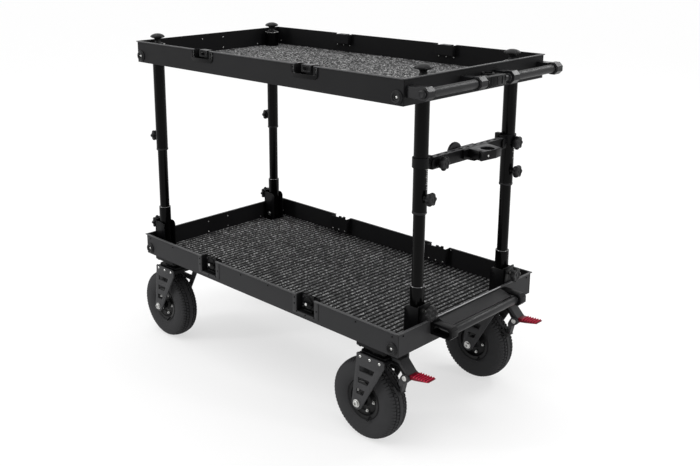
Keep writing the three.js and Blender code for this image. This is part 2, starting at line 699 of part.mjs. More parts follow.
function foldBracket(out) {
  const earInner = SOCKET_RADIUS + CLEARANCE;
  const earOuter = earInner + BRACKET_SHEET;
  const web = LEG_END_INSET - WALL - CLEARANCE;
  const outline = new THREE.Shape();
  outline.moveTo(web, BRACKET_FOOT);
  outline.lineTo(web, BRACKET_WEB_TOP);
  outline.lineTo(web - BRACKET_SHEET, BRACKET_WEB_TOP);
  outline.lineTo(web - BRACKET_SHEET - (BRACKET_WEB_TOP - BRACKET_EAR_TOP) / 2, BRACKET_EAR_TOP);
  outline.lineTo(BRACKET_ROUND - BRACKET_INNER_REACH, BRACKET_EAR_TOP);
  outline.absarc(
    BRACKET_ROUND - BRACKET_INNER_REACH,
    BRACKET_EAR_TOP - BRACKET_ROUND,
    BRACKET_ROUND,
    Math.PI / 2,
    Math.PI,
    false,
  );
  outline.lineTo(-BRACKET_INNER_REACH, BRACKET_FOOT);
  const whole = prism("y", outline, -earOuter, earOuter, 4);
  const room = block(
    [-BRACKET_INNER_REACH - OVERRUN, web - BRACKET_SHEET],
    [-earInner, earInner],
    [BRACKET_FOOT + BRACKET_SHEET, BRACKET_WEB_TOP + OVERRUN],
  );
  const pinZ = BRACKET_FOOT + FOLD_PIN_HEIGHT;
  const head = earOuter + FOLD_PIN_HEAD;
  const stemBore = turningBore(KNOB_STEM_RADIUS);
  const knobZ = LOWER_TRAY_TOP + FOLD_KNOB_HEIGHT;
  const bracket = join(
    cut(whole, room, bar("x", stemBore, 0, web + OVERRUN, 0, knobZ, SMALL_SIDES)),
    bar("y", FOLD_PIN_RADIUS, -earOuter, earOuter, 0, pinZ, SMALL_SIDES),
    bar("y", FOLD_PIN_HEAD_RADIUS, -head, -earOuter, 0, pinZ, 6),
    bar("y", FOLD_PIN_HEAD_RADIUS, earOuter, head, 0, pinZ, 6),
  );
  return out > 0 ? bracket : bracket.rotate([0, 0, 180]);
}

function starKnob(radius, stemTip, from, to) {
  const stem = bar("x", KNOB_STEM_RADIUS, ...span(stemTip, to), 0, 0, SMALL_SIDES);
  return join(star("x", radius, ...span(from, to)), stem);
}

function shelfKnob() {
  const cap = UPPER_TRAY_TOP + SHELF_KNOB_RISE;
  const washer = SLEEVE_TOP + CLEARANCE;
  const profile = [
    [0, OUTER_TUBE_TOP - SHELF_KNOB_STEM_DEPTH],
    [SHELF_KNOB_STEM_RADIUS, OUTER_TUBE_TOP - SHELF_KNOB_STEM_DEPTH],
    [SHELF_KNOB_STEM_RADIUS, washer],
    [SHELF_KNOB_WASHER_RADIUS, washer],
    [SHELF_KNOB_WASHER_RADIUS, washer + SHELF_KNOB_WASHER],
    [SHELF_KNOB_NECK_RADIUS, washer + SHELF_KNOB_WASHER],
    [SHELF_KNOB_NECK_RADIUS, cap],
    [SHELF_KNOB_RADIUS, cap + SHELF_KNOB_EDGE / 2],
    [SHELF_KNOB_RADIUS, cap + SHELF_KNOB_EDGE],
    [SHELF_KNOB_RADIUS / 2, cap + SHELF_KNOB_CROWN],
    [0, cap + SHELF_KNOB_CROWN],
  ];
  return turned("z", profile, KNOB_SIDES);
}

for (const { name, x, y, out } of LEGS) {
  const leg = place(x, y);
  piece(`leg_inner_${name}`, innerTube(out), finishes.tube, leg);
  piece(`leg_outer_${name}`, outerTube(out), finishes.tube, leg);
  piece(`leg_bracket_${name}`, foldBracket(out), finishes.plate, leg);
  piece(`shelf_knob_${name}`, shelfKnob(), finishes.knob, leg);

  const heightFrom = OUTER_TUBE_RADIUS + HEIGHT_KNOB_BOSS_LENGTH + HEIGHT_KNOB_STANDOFF;
  const heightKnob = starKnob(
    HEIGHT_KNOB_RADIUS,
    out * (INNER_TUBE_RADIUS + 2 * CLEARANCE),
    out * heightFrom,
    out * (heightFrom + HEIGHT_KNOB_THICKNESS),
  );
  const heightPlace = place(x, y, OUTER_TUBE_BOTTOM + HEIGHT_KNOB_RISE);
  piece(`height_knob_${name}`, heightKnob, finishes.knob, heightPlace);

  const foldFrom = LEG_END_INSET + FOLD_KNOB_OVERHANG;
  const foldKnob = starKnob(
    FOLD_KNOB_RADIUS,
    out * (SOCKET_RADIUS + CLEARANCE),
    out * foldFrom,
    out * (foldFrom + FOLD_KNOB_THICKNESS),
  );
  const foldPlace = place(x, y, LOWER_TRAY_TOP + FOLD_KNOB_HEIGHT);
  piece(`fold_knob_${name}`, foldKnob, finishes.knob, foldPlace);
}

// Casters: fork, rim, tyre and, at the handle end, the brake
function forkOutline() {
  const shape = new THREE.Shape();
  const shoulder = FORK_TOP - FORK_SHOULDER_DROP;
  shape.moveTo(-FORK_LEFT, FORK_TOP);
  shape.lineTo(-FORK_LEFT, shoulder);
  shape.absarc(-CASTER_TRAIL, AXLE_Z, FORK_TIP_RADIUS, 180 * DEGREE, 326 * DEGREE, false);
  shape.lineTo(FORK_RIGHT, shoulder);
  shape.lineTo(FORK_RIGHT, FORK_TOP);
  for (let i = 0; i < 3; i++) {
    const left = -FORK_SLOT_LEFT - i * FORK_SLOT_LEFT_STEP;
    const right = FORK_SLOT_RIGHT - i * FORK_SLOT_RIGHT_STEP;
    const top = FORK_SLOT_TOP - i * FORK_SLOT_PITCH;
    const slot = new THREE.Path();
    slot.moveTo(left, top);
    slot.lineTo(right, top);
    slot.lineTo(right - FORK_SLOT_SLANT, top - FORK_SLOT_HEIGHT);
    slot.lineTo(left, top - FORK_SLOT_HEIGHT);
    shape.holes.push(slot);
  }
  return shape;
}

function brakeBracket() {
  const crownBase = CROWN_TOP - CROWN_THICKNESS;
  const edge = BRAKE_HUB_RADIUS;
  const side = polygon([
    [FORK_RIGHT - OVERRUN, CROWN_TOP],
    [BRAKE_PIVOT_X - 1.6 * edge, CROWN_TOP],
    [BRAKE_PIVOT_X + edge, BRAKE_PIVOT_Z + edge],
    [BRAKE_PIVOT_X + edge, BRAKE_PIVOT_Z - edge],
    [BRAKE_PIVOT_X - edge, BRAKE_PIVOT_Z - edge],
    [BRAKE_PIVOT_X - 2.6 * edge, crownBase],
    [FORK_RIGHT - OVERRUN, crownBase],
  ]);
  const outer = BRAKE_ARM_INNER + BRAKE_ARM_SHEET;
  const hollow = polygon([
    [FORK_RIGHT, CROWN_TOP - BRAKE_ARM_SHEET],
    [BRAKE_PIVOT_X - 2 * edge, CROWN_TOP - BRAKE_ARM_SHEET],
    [BRAKE_PIVOT_X + edge - BRAKE_ARM_SHEET, BRAKE_PIVOT_Z + edge],
    [BRAKE_PIVOT_X + edge + OVERRUN, BRAKE_PIVOT_Z + edge],
    [BRAKE_PIVOT_X + edge + OVERRUN, BRAKE_PIVOT_Z - edge - OVERRUN],
    [FORK_RIGHT, BRAKE_PIVOT_Z - edge - OVERRUN],
  ]);
  const cheekOuter = outer + CLEARANCE + BRAKE_CHEEK_SHEET;
  const pinEnd = cheekOuter + CLEARANCE + BRAKE_PIN_HEAD;
  const headFrom = cheekOuter + CLEARANCE;
  return join(
    cut(prism("y", side, -outer, outer), prism("y", hollow, -BRAKE_ARM_INNER, BRAKE_ARM_INNER)),
    bar("y", BRAKE_PIN_RADIUS, -pinEnd, pinEnd, BRAKE_PIVOT_X, BRAKE_PIVOT_Z, SMALL_SIDES),
    bar("y", BRAKE_PIN_HEAD_RADIUS, -pinEnd, -headFrom, BRAKE_PIVOT_X, BRAKE_PIVOT_Z, SMALL_SIDES),
    bar("y", BRAKE_PIN_HEAD_RADIUS, headFrom, pinEnd, BRAKE_PIVOT_X, BRAKE_PIVOT_Z, SMALL_SIDES),
  );
}

function fork(brake) {
  const inner = FORK_OUTER_HALF - FORK_SHEET;
  const outline = forkOutline();
  const crownBase = CROWN_TOP - CROWN_THICKNESS;
  const headTop = LOWER_TRAY_BASE - BASE_PLATE_THICKNESS - CLEARANCE;
  const nut = FORK_OUTER_HALF + AXLE_NUT;
  let made = join(
    prism("y", outline, -FORK_OUTER_HALF, -inner),
    prism("y", outline, inner, FORK_OUTER_HALF),
    prism("z", roundedBox(-FORK_LEFT, FORK_RIGHT, -inner, inner, FORK_SHEET), crownBase, CROWN_TOP, 1),
    bar("z", SWIVEL_RADIUS, CROWN_TOP, headTop),
    bar("z", KINGPIN_RADIUS, headTop, headTop + KINGPIN_RISE, 0, 0, SMALL_SIDES),
    bar("y", AXLE_RADIUS, -nut, nut, -CASTER_TRAIL, AXLE_Z, SMALL_SIDES),
    bar("y", AXLE_NUT_RADIUS, -nut, -FORK_OUTER_HALF, -CASTER_TRAIL, AXLE_Z, 6),
    bar("y", AXLE_NUT_RADIUS, FORK_OUTER_HALF, nut, -CASTER_TRAIL, AXLE_Z, 6),
  );
  for (const side of [-1, 1]) {
    for (const step of [-1, 0, 1]) {
      const face = side * FORK_OUTER_HALF;
      const head = face + side * FORK_BOLT_HEAD;
      const x = step * FORK_BOLT_PITCH;
      const z = FORK_TOP - FORK_BOLT_DROP;
      made = join(made, bar("y", FORK_BOLT_RADIUS, ...span(face, head), x, z, BOLT_SIDES));
    }
  }
  return brake ? join(made, brakeBracket()) : made;
}

function rim() {
  const half = RIM_WIDTH / 2;
  const bore = AXLE_RADIUS + 2 * CLEARANCE;
  const seat = RIM_SEAT_RADIUS;
  const under = seat - RIM_SHEET;
  return turned(
    "y",
    [
      [bore, -HUB_WIDTH / 2],
      [HUB_RADIUS, -HUB_WIDTH / 2],
      [HUB_RADIUS, -RIM_DISC / 2],
      [under, -RIM_DISC / 2],
      [under, -half],
      [RIM_FLANGE_RADIUS, -half],
      [seat, RIM_FLANGE - half],
      [seat, half - RIM_FLANGE],
      [RIM_FLANGE_RADIUS, half],
      [under, half],
      [under, RIM_DISC / 2],
      [HUB_RADIUS, RIM_DISC / 2],
      [HUB_RADIUS, HUB_WIDTH / 2],
      [bore, HUB_WIDTH / 2],
      [bore, -HUB_WIDTH / 2],
    ],
    RIM_SIDES,
  );
}

function tyre() {
  const bead = RIM_SEAT_RADIUS + 2 * CLEARANCE;
  const beadHalf = RIM_WIDTH / 2 - RIM_FLANGE - CLEARANCE;
  const lip = RIM_FLANGE_RADIUS + 2 * CLEARANCE;
  const half = TYRE_WIDTH / 2;
  const tread = TYRE_TREAD_WIDTH / 2;
  const middle = (TYRE_RADIUS + lip) / 2;
  const profile = [
    [bead, beadHalf - TYRE_WALL],
    [TYRE_RADIUS - TYRE_WALL, 0],
    [bead, TYRE_WALL - beadHalf],
    [bead, -beadHalf],
    [lip, -beadHalf],
    [middle, -half],
    [TYRE_RADIUS, -tread],
    [TYRE_RADIUS, tread],
    [middle, half],
    [lip, beadHalf],
    [bead, beadHalf],
    [bead, beadHalf - TYRE_WALL],
  ];
  return turned("y", profile, TYRE_SIDES);
}

// The pedal lever turns on the brake's pin; its pad presses on the tyre.
function brakePedal() {
  const inner = BRAKE_ARM_INNER + BRAKE_ARM_SHEET + CLEARANCE;
  const outer = inner + BRAKE_CHEEK_SHEET;
  const axleX = -CASTER_TRAIL - BRAKE_PIVOT_X;
  const axleZ = AXLE_Z - BRAKE_PIVOT_Z;
  const travel = BRAKE_TRAVEL * DEGREE;
  // A point over the tyre with the brake on, turned back to where it is with the brake off.
  const onTyre = (radius, degrees) => {
    const x = axleX + radius * Math.cos(degrees * DEGREE);
    const z = axleZ + radius * Math.sin(degrees * DEGREE);
    return [
      x * Math.cos(travel) - z * Math.sin(travel),
      x * Math.sin(travel) + z * Math.cos(travel),
    ];
  };
  const face = TYRE_RADIUS + PAD_GAP;
  const back = face + PAD_THICKNESS;
  const low = PAD_ANGLE - PAD_SPAN / 2;
  const high = PAD_ANGLE + PAD_SPAN / 2;
  const hub = BRAKE_HUB_RADIUS;
  const cheek = polygon([
    [-0.7 * hub, hub],
    [1.5 * hub, hub],
    [2.4 * hub, 0],
    [hub, -1.2 * hub],
    onTyre(back, low),
    onTyre(back - PAD_THICKNESS / 2, high),
    [-2.1 * hub, -1.3 * hub],
    [-1.6 * hub, 0.4 * hub],
  ]);
  const pad = polygon([
    onTyre(face, low),
    onTyre(back, low),
    onTyre(back, PAD_ANGLE),
    onTyre(back, high),
    onTyre(face, high),
    onTyre(face, PAD_ANGLE),
  ]);
  const tipX = PEDAL_TIP_X - BRAKE_PIVOT_X;
  const tipZ = PEDAL_TIP_Z - BRAKE_PIVOT_Z;
  const root = BRAKE_HUB_RADIUS + BRAKE_CHEEK_SHEET;
  const blade = new THREE.Shape();
  blade.moveTo(root, hub - PEDAL_THICKNESS);
  blade.quadraticCurveTo(tipX / 2, hub - PEDAL_THICKNESS / 2, tipX - PEDAL_THICKNESS, tipZ - PEDAL_THICKNESS);
  blade.lineTo(tipX, tipZ);
  blade.quadraticCurveTo(tipX / 2, tipZ + PEDAL_THICKNESS / 2, root, hub + PEDAL_THICKNESS / 2);
  const pinBore = turningBore(BRAKE_PIN_RADIUS);
  const solidLever = join(
    prism("y", cheek, -outer, -inner),
    prism("y", cheek, inner, outer),
    prism("y", pad, -outer, outer),
    prism("y", blade, -PEDAL_HALF_WIDTH, PEDAL_HALF_WIDTH, 4),
    block([root, 2 * hub], [-outer, outer], [0, hub]),
  );
  return cut(solidLever, bar("y", pinBore, -outer - OVERRUN, outer + OVERRUN, 0, 0, SMALL_SIDES));
}

for (const { name, x, y, brake } of CASTERS) {
  const swivel = place(x, y);
  piece(`caster_fork_${name}`, fork(brake), finishes.plate, swivel);
  const axle = place(x - CASTER_TRAIL, y, AXLE_Z);
  piece(`caster_rim_${name}`, rim(), finishes.rim, axle);
  piece(`caster_tyre_${name}`, tyre(), finishes.rubber, axle);
  if (brake) {
    const pivot = place(x + BRAKE_PIVOT_X, y, BRAKE_PIVOT_Z);
    piece(`brake_pedal_${name}`, brakePedal(), finishes.pedal, pivot);
  }
}

// Cross bar, its two clamps, and the ring holder that slides along it
function crossbar() {
  const low = CROSSBAR_TOP - CROSSBAR_HEIGHT;
  const half = CROSSBAR_HALF_LENGTH;
  const thick = CROSSBAR_HALF_THICKNESS;
  let made = block([-thick, thick], [-half, half], [low, CROSSBAR_TOP]);
  for (let i = 0; i < CROSSBAR_HOLES; i++) {
    const y = (i - (CROSSBAR_HOLES - 1) / 2) * CROSSBAR_HOLE_PITCH;
    const high = CROSSBAR_TOP + OVERRUN;
    made = cut(made, bar("z", CROSSBAR_HOLE_RADIUS, low - OVERRUN, high, 0, y, BOLT_SIDES));
  }
  const knobY = CLAMP_KNOB_SETBACK - half;
  const bore = turningBore(KNOB_STEM_RADIUS);
  return cut(made, bar("x", bore, 0, thick + OVERRUN, knobY, CROSSBAR_Z, SMALL_SIDES));
}

function clampRing(towards) {
  const low = CROSSBAR_Z + CLAMP_RISE - CLAMP_HEIGHT / 2;
  const high = low + CLAMP_HEIGHT;
  const bore = OUTER_TUBE_RADIUS + CLAMP_GAP;
  const legY = -towards * RIGHT_LEG_Y;
  const neckEnd = -towards * (CROSSBAR_HALF_LENGTH + CLEARANCE);
  const neck = block([-CLAMP_NECK_HALF, CLAMP_NECK_HALF], [legY, neckEnd], [low, high]);
  const ring = join(bar("z", CLAMP_RADIUS, low, high, 0, legY), neck);
  return cut(ring, bar("z", bore, low - OVERRUN, high + OVERRUN, 0, legY));
}

function tongue(towards, length) {
  const start = -towards * (CROSSBAR_HALF_LENGTH + CLEARANCE);
  const from = CROSSBAR_HALF_THICKNESS + CLEARANCE;
  return block(
    [from, from + CLAMP_TONGUE_SHEET],
    [start - towards * CLAMP_NECK / 2, start + towards * length],
    [CROSSBAR_Z - CLAMP_TONGUE_HEIGHT / 2, CROSSBAR_Z + CLAMP_TONGUE_HEIGHT / 2],
  );
}

function frontClamp() {
  const knobY = CLAMP_KNOB_SETBACK - CROSSBAR_HALF_LENGTH;
  const bore = turningBore(KNOB_STEM_RADIUS);
  const face = CROSSBAR_HALF_THICKNESS + CLAMP_TONGUE_SHEET;
  const far = face + CLAMP_BOSS_LENGTH;
  const boss = bar("x", CLAMP_BOSS_RADIUS, face, far, knobY, CROSSBAR_Z, SMALL_SIDES);
  const near = CROSSBAR_HALF_THICKNESS - OVERRUN;
  const hole = bar("x", bore, near, far + OVERRUN, knobY, CROSSBAR_Z, SMALL_SIDES);
  return cut(join(clampRing(1), tongue(1, CLAMP_TONGUE), boss), hole);
}

function backClamp() {
  const outside = CLAMP_RADIUS + CLAMP_BACK_BOSS_LENGTH;
  const inside = OUTER_TUBE_RADIUS + CLAMP_BOSS_STANDOFF;
  const boss = bar("x", CLAMP_BOSS_RADIUS, inside, outside, RIGHT_LEG_Y, CROSSBAR_Z, SMALL_SIDES);
  const bore = turningBore(KNOB_STEM_RADIUS);
  const hole = bar("x", bore, 0, outside + OVERRUN, RIGHT_LEG_Y, CROSSBAR_Z, SMALL_SIDES);
  const legBore = OUTER_TUBE_RADIUS + CLAMP_GAP;
  const low = CROSSBAR_Z - CLAMP_HEIGHT;
  const high = CROSSBAR_Z + CLAMP_HEIGHT;
  const clear = bar("z", legBore, low, high, 0, RIGHT_LEG_Y);
  const earStart = CROSSBAR_HALF_LENGTH + CLEARANCE;
  const ear = block(
    [-CLAMP_EAR_BACK, -CLAMP_EAR_FRONT],
    [earStart, earStart + CLAMP_EAR_LENGTH],
    [CROSSBAR_Z - CLAMP_HEIGHT / 4, CROSSBAR_TOP + CLAMP_EAR_RISE],
  );
  return cut(join(clampRing(-1), tongue(-1, CLAMP_NECK), boss, ear), clear, hole);
}

function holder() {
  const high = CROSSBAR_TOP;
  const low = CROSSBAR_TOP - HOLDER_HEIGHT;
  const face = CROSSBAR_HALF_THICKNESS + CLEARANCE;
  const wall = HOLDER_RING_WALL;
  const body = polygon([
    [face, HOLDER_START],
    [HOLDER_REACH - 2 * wall, HOLDER_NOSE_Y + wall / 2],
    [HOLDER_REACH - wall, HOLDER_NOSE_Y],
    [HOLDER_REACH, HOLDER_RING_Y + wall],
    [HOLDER_REACH - wall / 2, HOLDER_END - 2 * wall],
    [face, HOLDER_END],
  ]);
  const jawLow = CROSSBAR_TOP - CROSSBAR_HEIGHT - CLEARANCE;
  const rear = -CROSSBAR_HALF_THICKNESS - CLEARANCE;
  const jaws = [HOLDER_JAW_START, HOLDER_JAW_END];
  const under = block(
    [rear - HOLDER_JAW_SHEET, face + HOLDER_JAW_SHEET],
    jaws,
    [jawLow - HOLDER_JAW_SHEET, jawLow],
  );
  const back = [rear - HOLDER_JAW_SHEET, rear];
  const front = [face, face + HOLDER_JAW_SHEET];
  const flange = [HOLDER_FLANGE_START, HOLDER_JAW_END];
  const bore = turningBore(KNOB_STEM_RADIUS);
  const far = rear - HOLDER_JAW_SHEET - OVERRUN;
  const hole = bar("x", bore, far, rear + OVERRUN, HOLDER_KNOB_Y, CROSSBAR_Z, SMALL_SIDES);
  const ring = bar("z", HOLDER_HOLE_RADIUS, low - OVERRUN, high + OVERRUN, HOLDER_RING_X, HOLDER_RING_Y);
  const made = join(
    prism("z", body, low, high),
    under,
    block(back, flange, [low, high]),
    block(back, jaws, [jawLow - HOLDER_JAW_SHEET, high]),
    block(front, flange, [low, high]),
    block(front, jaws, [jawLow - HOLDER_JAW_SHEET, high]),
  );
  return cut(made, ring, hole);
}

const crossbarPlace = place(LEG_X, 0);
piece("crossbar", crossbar(), finishes.plate, crossbarPlace);
piece("crossbar_clamp_front", frontClamp(), finishes.plate, crossbarPlace);
piece("crossbar_clamp_back", backClamp(), finishes.plate, crossbarPlace);
piece("accessory_holder", holder(), finishes.plate, crossbarPlace);

const frontKnobFrom =
  CROSSBAR_HALF_THICKNESS + CLAMP_TONGUE_SHEET + CLAMP_BOSS_LENGTH + 2 * CLEARANCE;
const frontKnobPlace = place(LEG_X, CLAMP_KNOB_SETBACK - CROSSBAR_HALF_LENGTH, CROSSBAR_Z);
piece(
  "clamp_knob_front",
  starKnob(CLAMP_KNOB_RADIUS, CLEARANCE, frontKnobFrom, frontKnobFrom + CLAMP_KNOB_THICKNESS),
  finishes.knob,
  frontKnobPlace,
);
const backKnobFrom = CLAMP_RADIUS + CLAMP_BACK_BOSS_LENGTH + CLEARANCE;
piece(
  "clamp_knob_back",
  starKnob(
    CLAMP_KNOB_RADIUS,
    OUTER_TUBE_RADIUS + CLEARANCE,
    backKnobFrom,
    backKnobFrom + CLAMP_KNOB_THICKNESS,
  ),
  finishes.knob,
  place(LEG_X, RIGHT_LEG_Y, CROSSBAR_Z),
);
const holderKnobFrom =
  CROSSBAR_HALF_THICKNESS + CLEARANCE + HOLDER_JAW_SHEET + HOLDER_KNOB_STANDOFF;
const holderKnobTo = holderKnobFrom + HOLDER_KNOB_THICKNESS;
const holderStemTip = -CROSSBAR_HALF_THICKNESS - CLEARANCE;
piece(
  "holder_knob",
  join(
    bar("x", HOLDER_KNOB_RADIUS, -holderKnobTo, -holderKnobFrom),
    bar("x", KNOB_STEM_RADIUS, -holderKnobTo, holderStemTip, 0, 0, SMALL_SIDES),
  ),
  finishes.knob,
  place(LEG_X, HOLDER_KNOB_Y, CROSSBAR_Z),
);

// Push handle: a bar in four collars, two foam grips and a ring block between the inner collars
function handleBar() {
  const end = HANDLE_OUTER_COLLAR + HANDLE_COLLAR_THICKNESS / 2;
  let made = bar("y", HANDLE_BAR_RADIUS, -end, end, HANDLE_X, HANDLE_Z);
  for (const y of [-HANDLE_OUTER_COLLAR, -HANDLE_INNER_COLLAR, HANDLE_INNER_COLLAR, HANDLE_OUTER_COLLAR]) {
    const from = y - HANDLE_COLLAR_THICKNESS / 2;
    const to = y + HANDLE_COLLAR_THICKNESS / 2;
    const arm = block(
      [HALF_LENGTH + CLEARANCE, HANDLE_X],
      [from, to],
      [HANDLE_Z - HANDLE_ARM_HALF_HEIGHT, HANDLE_Z + HANDLE_ARM_HALF_HEIGHT],
    );
    made = join(made, arm, bar("y", HANDLE_COLLAR_RADIUS, from, to, HANDLE_X, HANDLE_Z, 8));
  }
  for (const side of [-1, 1]) {
    const cap = span(side * end, side * (end + HANDLE_BOSS));
    made = join(made, bar("y", HANDLE_BOSS_RADIUS, ...cap, HANDLE_X, HANDLE_Z, KNOB_SIDES));
  }
  const inner = HANDLE_INNER_COLLAR - HANDLE_COLLAR_THICKNESS / 2;
  const boss = bar("y", HANDLE_BOSS_RADIUS, inner - HANDLE_BOSS, inner, HANDLE_X, HANDLE_Z, KNOB_SIDES);
  return join(made, boss);
}

function grip(side) {
  const from = HANDLE_INNER_COLLAR + HANDLE_COLLAR_THICKNESS / 2 + CLEARANCE;
  const to = HANDLE_OUTER_COLLAR - HANDLE_COLLAR_THICKNESS / 2 - CLEARANCE;
  const bore = HANDLE_BAR_RADIUS + GRIP_GAP;
  return tube("y", GRIP_RADIUS, bore, ...span(side * from, side * to), HANDLE_X, HANDLE_Z, TUBE_SIDES);
}

function ringBlock() {
  const start = HANDLE_COLLAR_THICKNESS / 2 + CLEARANCE - HANDLE_INNER_COLLAR;
  const end = RING_BLOCK_END;
  const bore = HANDLE_BAR_RADIUS + CLEARANCE;
  const ring = RING_HOLE_RADIUS + RING_WALL;
  const ringX = HANDLE_X - bore - ring;
  const low = HANDLE_Z - RING_BLOCK_HALF_HEIGHT;
  const high = HANDLE_Z + RING_BLOCK_HALF_HEIGHT;
  const body = join(
    block([HANDLE_X - RING_BLOCK_BACK, HANDLE_X + RING_BLOCK_FRONT], [start, end], [low, high]),
    block([ringX, HANDLE_X], [-ring, ring], [low, high]),
    bar("z", ring, low, high + RING_RISE, ringX, 0),
  );
  return cut(
    body,
    bar("y", bore, start - OVERRUN, end + OVERRUN, HANDLE_X, HANDLE_Z),
    bar("z", RING_HOLE_RADIUS, low - OVERRUN, high + RING_RISE + OVERRUN, ringX, 0),
  );
}

piece("handle_bar", handleBar(), finishes.plate);
piece("handle_grip_front", grip(-1), finishes.grip);
piece("handle_grip_back", grip(1), finishes.grip);
piece("handle_ring_block", ringBlock(), finishes.plate);

// End shelf: a sloping plate between two slotted arms, with a round bar along its edge
function endShelf() {
  const wall = HALF_LENGTH + CLEARANCE;
  const nose = END_BAR_X + END_ARM_NOSE;
  const high = END_BAR_Z + END_ARM_HALF_HEIGHT;
  const low = END_BAR_Z - END_ARM_HALF_HEIGHT;
  const armShape = polygon([
    [wall, low],
    [nose - END_ARM_CHAMFER, low],
    [nose, low + END_ARM_CHAMFER],
    [nose, high - END_ARM_CHAMFER],
    [nose - END_ARM_CHAMFER, high],
    [wall, high],
  ]);
  const slot = new THREE.Path();
  const slotX = HALF_LENGTH + END_SLOT_START;
  slot.absarc(slotX, END_BAR_Z, END_SLOT_RADIUS, 90 * DEGREE, 270 * DEGREE, false);
  slot.absarc(slotX + END_SLOT_LENGTH, END_BAR_Z, END_SLOT_RADIUS, -90 * DEGREE, 90 * DEGREE, false);
  armShape.holes.push(slot);
  const rimBase = LOWER_TRAY_TOP - RIM_THICKNESS - CLEARANCE;
  const plateShape = polygon([
    [wall, rimBase - END_PLATE_SHEET],
    [END_BAR_X - END_BAR_RADIUS, END_BAR_Z + END_BAR_RADIUS / 2],
    [END_BAR_X - END_BAR_RADIUS, END_BAR_Z + END_BAR_RADIUS / 2 + END_PLATE_SHEET],
    [wall, rimBase],
  ]);
  const inner = END_SHELF_HALF_WIDTH;
  const outer = END_SHELF_HALF_WIDTH + END_ARM_SHEET;
  const bore = END_BAR_RADIUS + CLEARANCE;
  const arms = [-1, 1].map((side) =>
    prism("y", armShape, ...span(side * inner, side * outer)),
  );
  return cut(
    join(prism("y", plateShape, -outer, outer), ...arms),
    bar("y", bore, -inner, inner, END_BAR_X, END_BAR_Z),
  );
}

piece("end_shelf", endShelf(), finishes.deck);
piece(
  "end_shelf_bar",
  bar(
    "y",
    END_BAR_RADIUS,
    CLEARANCE - END_SHELF_HALF_WIDTH,
    END_SHELF_HALF_WIDTH - CLEARANCE,
    END_BAR_X,
    END_BAR_Z,
  ),
  finishes.tube,
);

export default cart;
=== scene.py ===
# %% [markdown]
# # A two-tier camera cart in Blender
#
# A camera cart is a rolling work table for a film set: two shallow sheet-metal trays on four
# telescopic legs, standing on swivel casters with air-filled tyres. The solids, joints and sizes
# are already settled in the frame that is loaded here. This script dresses them: every visible
# piece is built again with round tubes, rolled edges and real fasteners, and rides on its body.

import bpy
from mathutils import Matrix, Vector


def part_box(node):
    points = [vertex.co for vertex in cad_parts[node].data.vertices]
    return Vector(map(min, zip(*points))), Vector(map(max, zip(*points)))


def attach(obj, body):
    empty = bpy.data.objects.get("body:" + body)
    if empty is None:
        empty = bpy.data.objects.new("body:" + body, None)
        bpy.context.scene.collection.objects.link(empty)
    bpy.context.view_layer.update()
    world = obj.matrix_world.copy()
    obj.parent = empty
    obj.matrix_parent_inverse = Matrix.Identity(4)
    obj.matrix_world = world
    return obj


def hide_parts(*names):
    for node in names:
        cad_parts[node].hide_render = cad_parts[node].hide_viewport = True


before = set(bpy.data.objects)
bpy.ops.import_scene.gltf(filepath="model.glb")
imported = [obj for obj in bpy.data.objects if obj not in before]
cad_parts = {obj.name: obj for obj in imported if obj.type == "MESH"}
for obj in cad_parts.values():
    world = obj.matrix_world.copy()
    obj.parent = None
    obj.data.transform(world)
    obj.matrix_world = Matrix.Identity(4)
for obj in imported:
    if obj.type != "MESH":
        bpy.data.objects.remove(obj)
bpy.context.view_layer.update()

import math
import random

import bmesh
import bpy
from mathutils import Matrix, Vector

# %% [markdown]
# ## Units and driving sizes
#
# A mechanic thinks in millimetres and Blender in metres, so every piece is built in millimetres,
# with the middle of the trays on the floor as its zero, and is scaled once at the end. The sizes
# that matter are read from the solids, so that the looks can't drift away from them. The legs at
# the handle end stand further in than the others, so that folded legs lie beside each other.

# %% Sizes read from the solids
MM = 0.001


def solid_box(node):
    low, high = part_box(node)
    return [c / MM for c in low], [c / MM for c in high]


upper_low, upper_high = solid_box("upper_tray")
RIM_REACH = 4
BUMPER_LENGTH = 7
TRAY_HEIGHT = 66.5
WALL = 3
TRAY_X = (upper_low[0] + upper_high[0]) / 2
HALF_LENGTH = (upper_high[0] - upper_low[0]) / 2 - RIM_REACH
HALF_WIDTH = (upper_high[1] - upper_low[1]) / 2 - BUMPER_LENGTH
UPPER_TOP = upper_high[2]
LOWER_TOP = solid_box("lower_tray")[1][2]
UPPER_BASE, LOWER_BASE = UPPER_TOP - TRAY_HEIGHT, LOWER_TOP - TRAY_HEIGHT
TRAYS = [("upper", UPPER_BASE, "upper_shelf"), ("lower", LOWER_BASE, "cart_base")]
SIDES = (-1, 1)
CORNERS = [(side, end) for side in SIDES for end in SIDES]
LEG_X = HALF_LENGTH - 30
LEFT_LEG_Y, RIGHT_LEG_Y = HALF_WIDTH - 56, HALF_WIDTH - 109
LEGS = [  # name, middle of the tube, and the direction that points out of the cart
    ("front_left", -LEG_X, -LEFT_LEG_Y, -1),
    ("back_left", -LEG_X, LEFT_LEG_Y, -1),
    ("front_right", LEG_X, -RIGHT_LEG_Y, 1),
    ("back_right", LEG_X, RIGHT_LEG_Y, 1),
]
print("trays", 2 * HALF_LENGTH, "x", 2 * HALF_WIDTH, "mm, rims at", LOWER_TOP, "and", UPPER_TOP)

# %% [markdown]
# ## Colours and nodes
#
# Paint charts give sRGB values, while a shader computes in linear light, so one function turns
# the first into the second. A second helper adds a node with its settings and its links: a shader
# tree is then read like a parts list. A third puts an object into the scene.

# %% Colour, node and object helpers
finishes = {}
COLOUR_A, COLOUR_B = 6, 7  # where a Mix node has its two colours


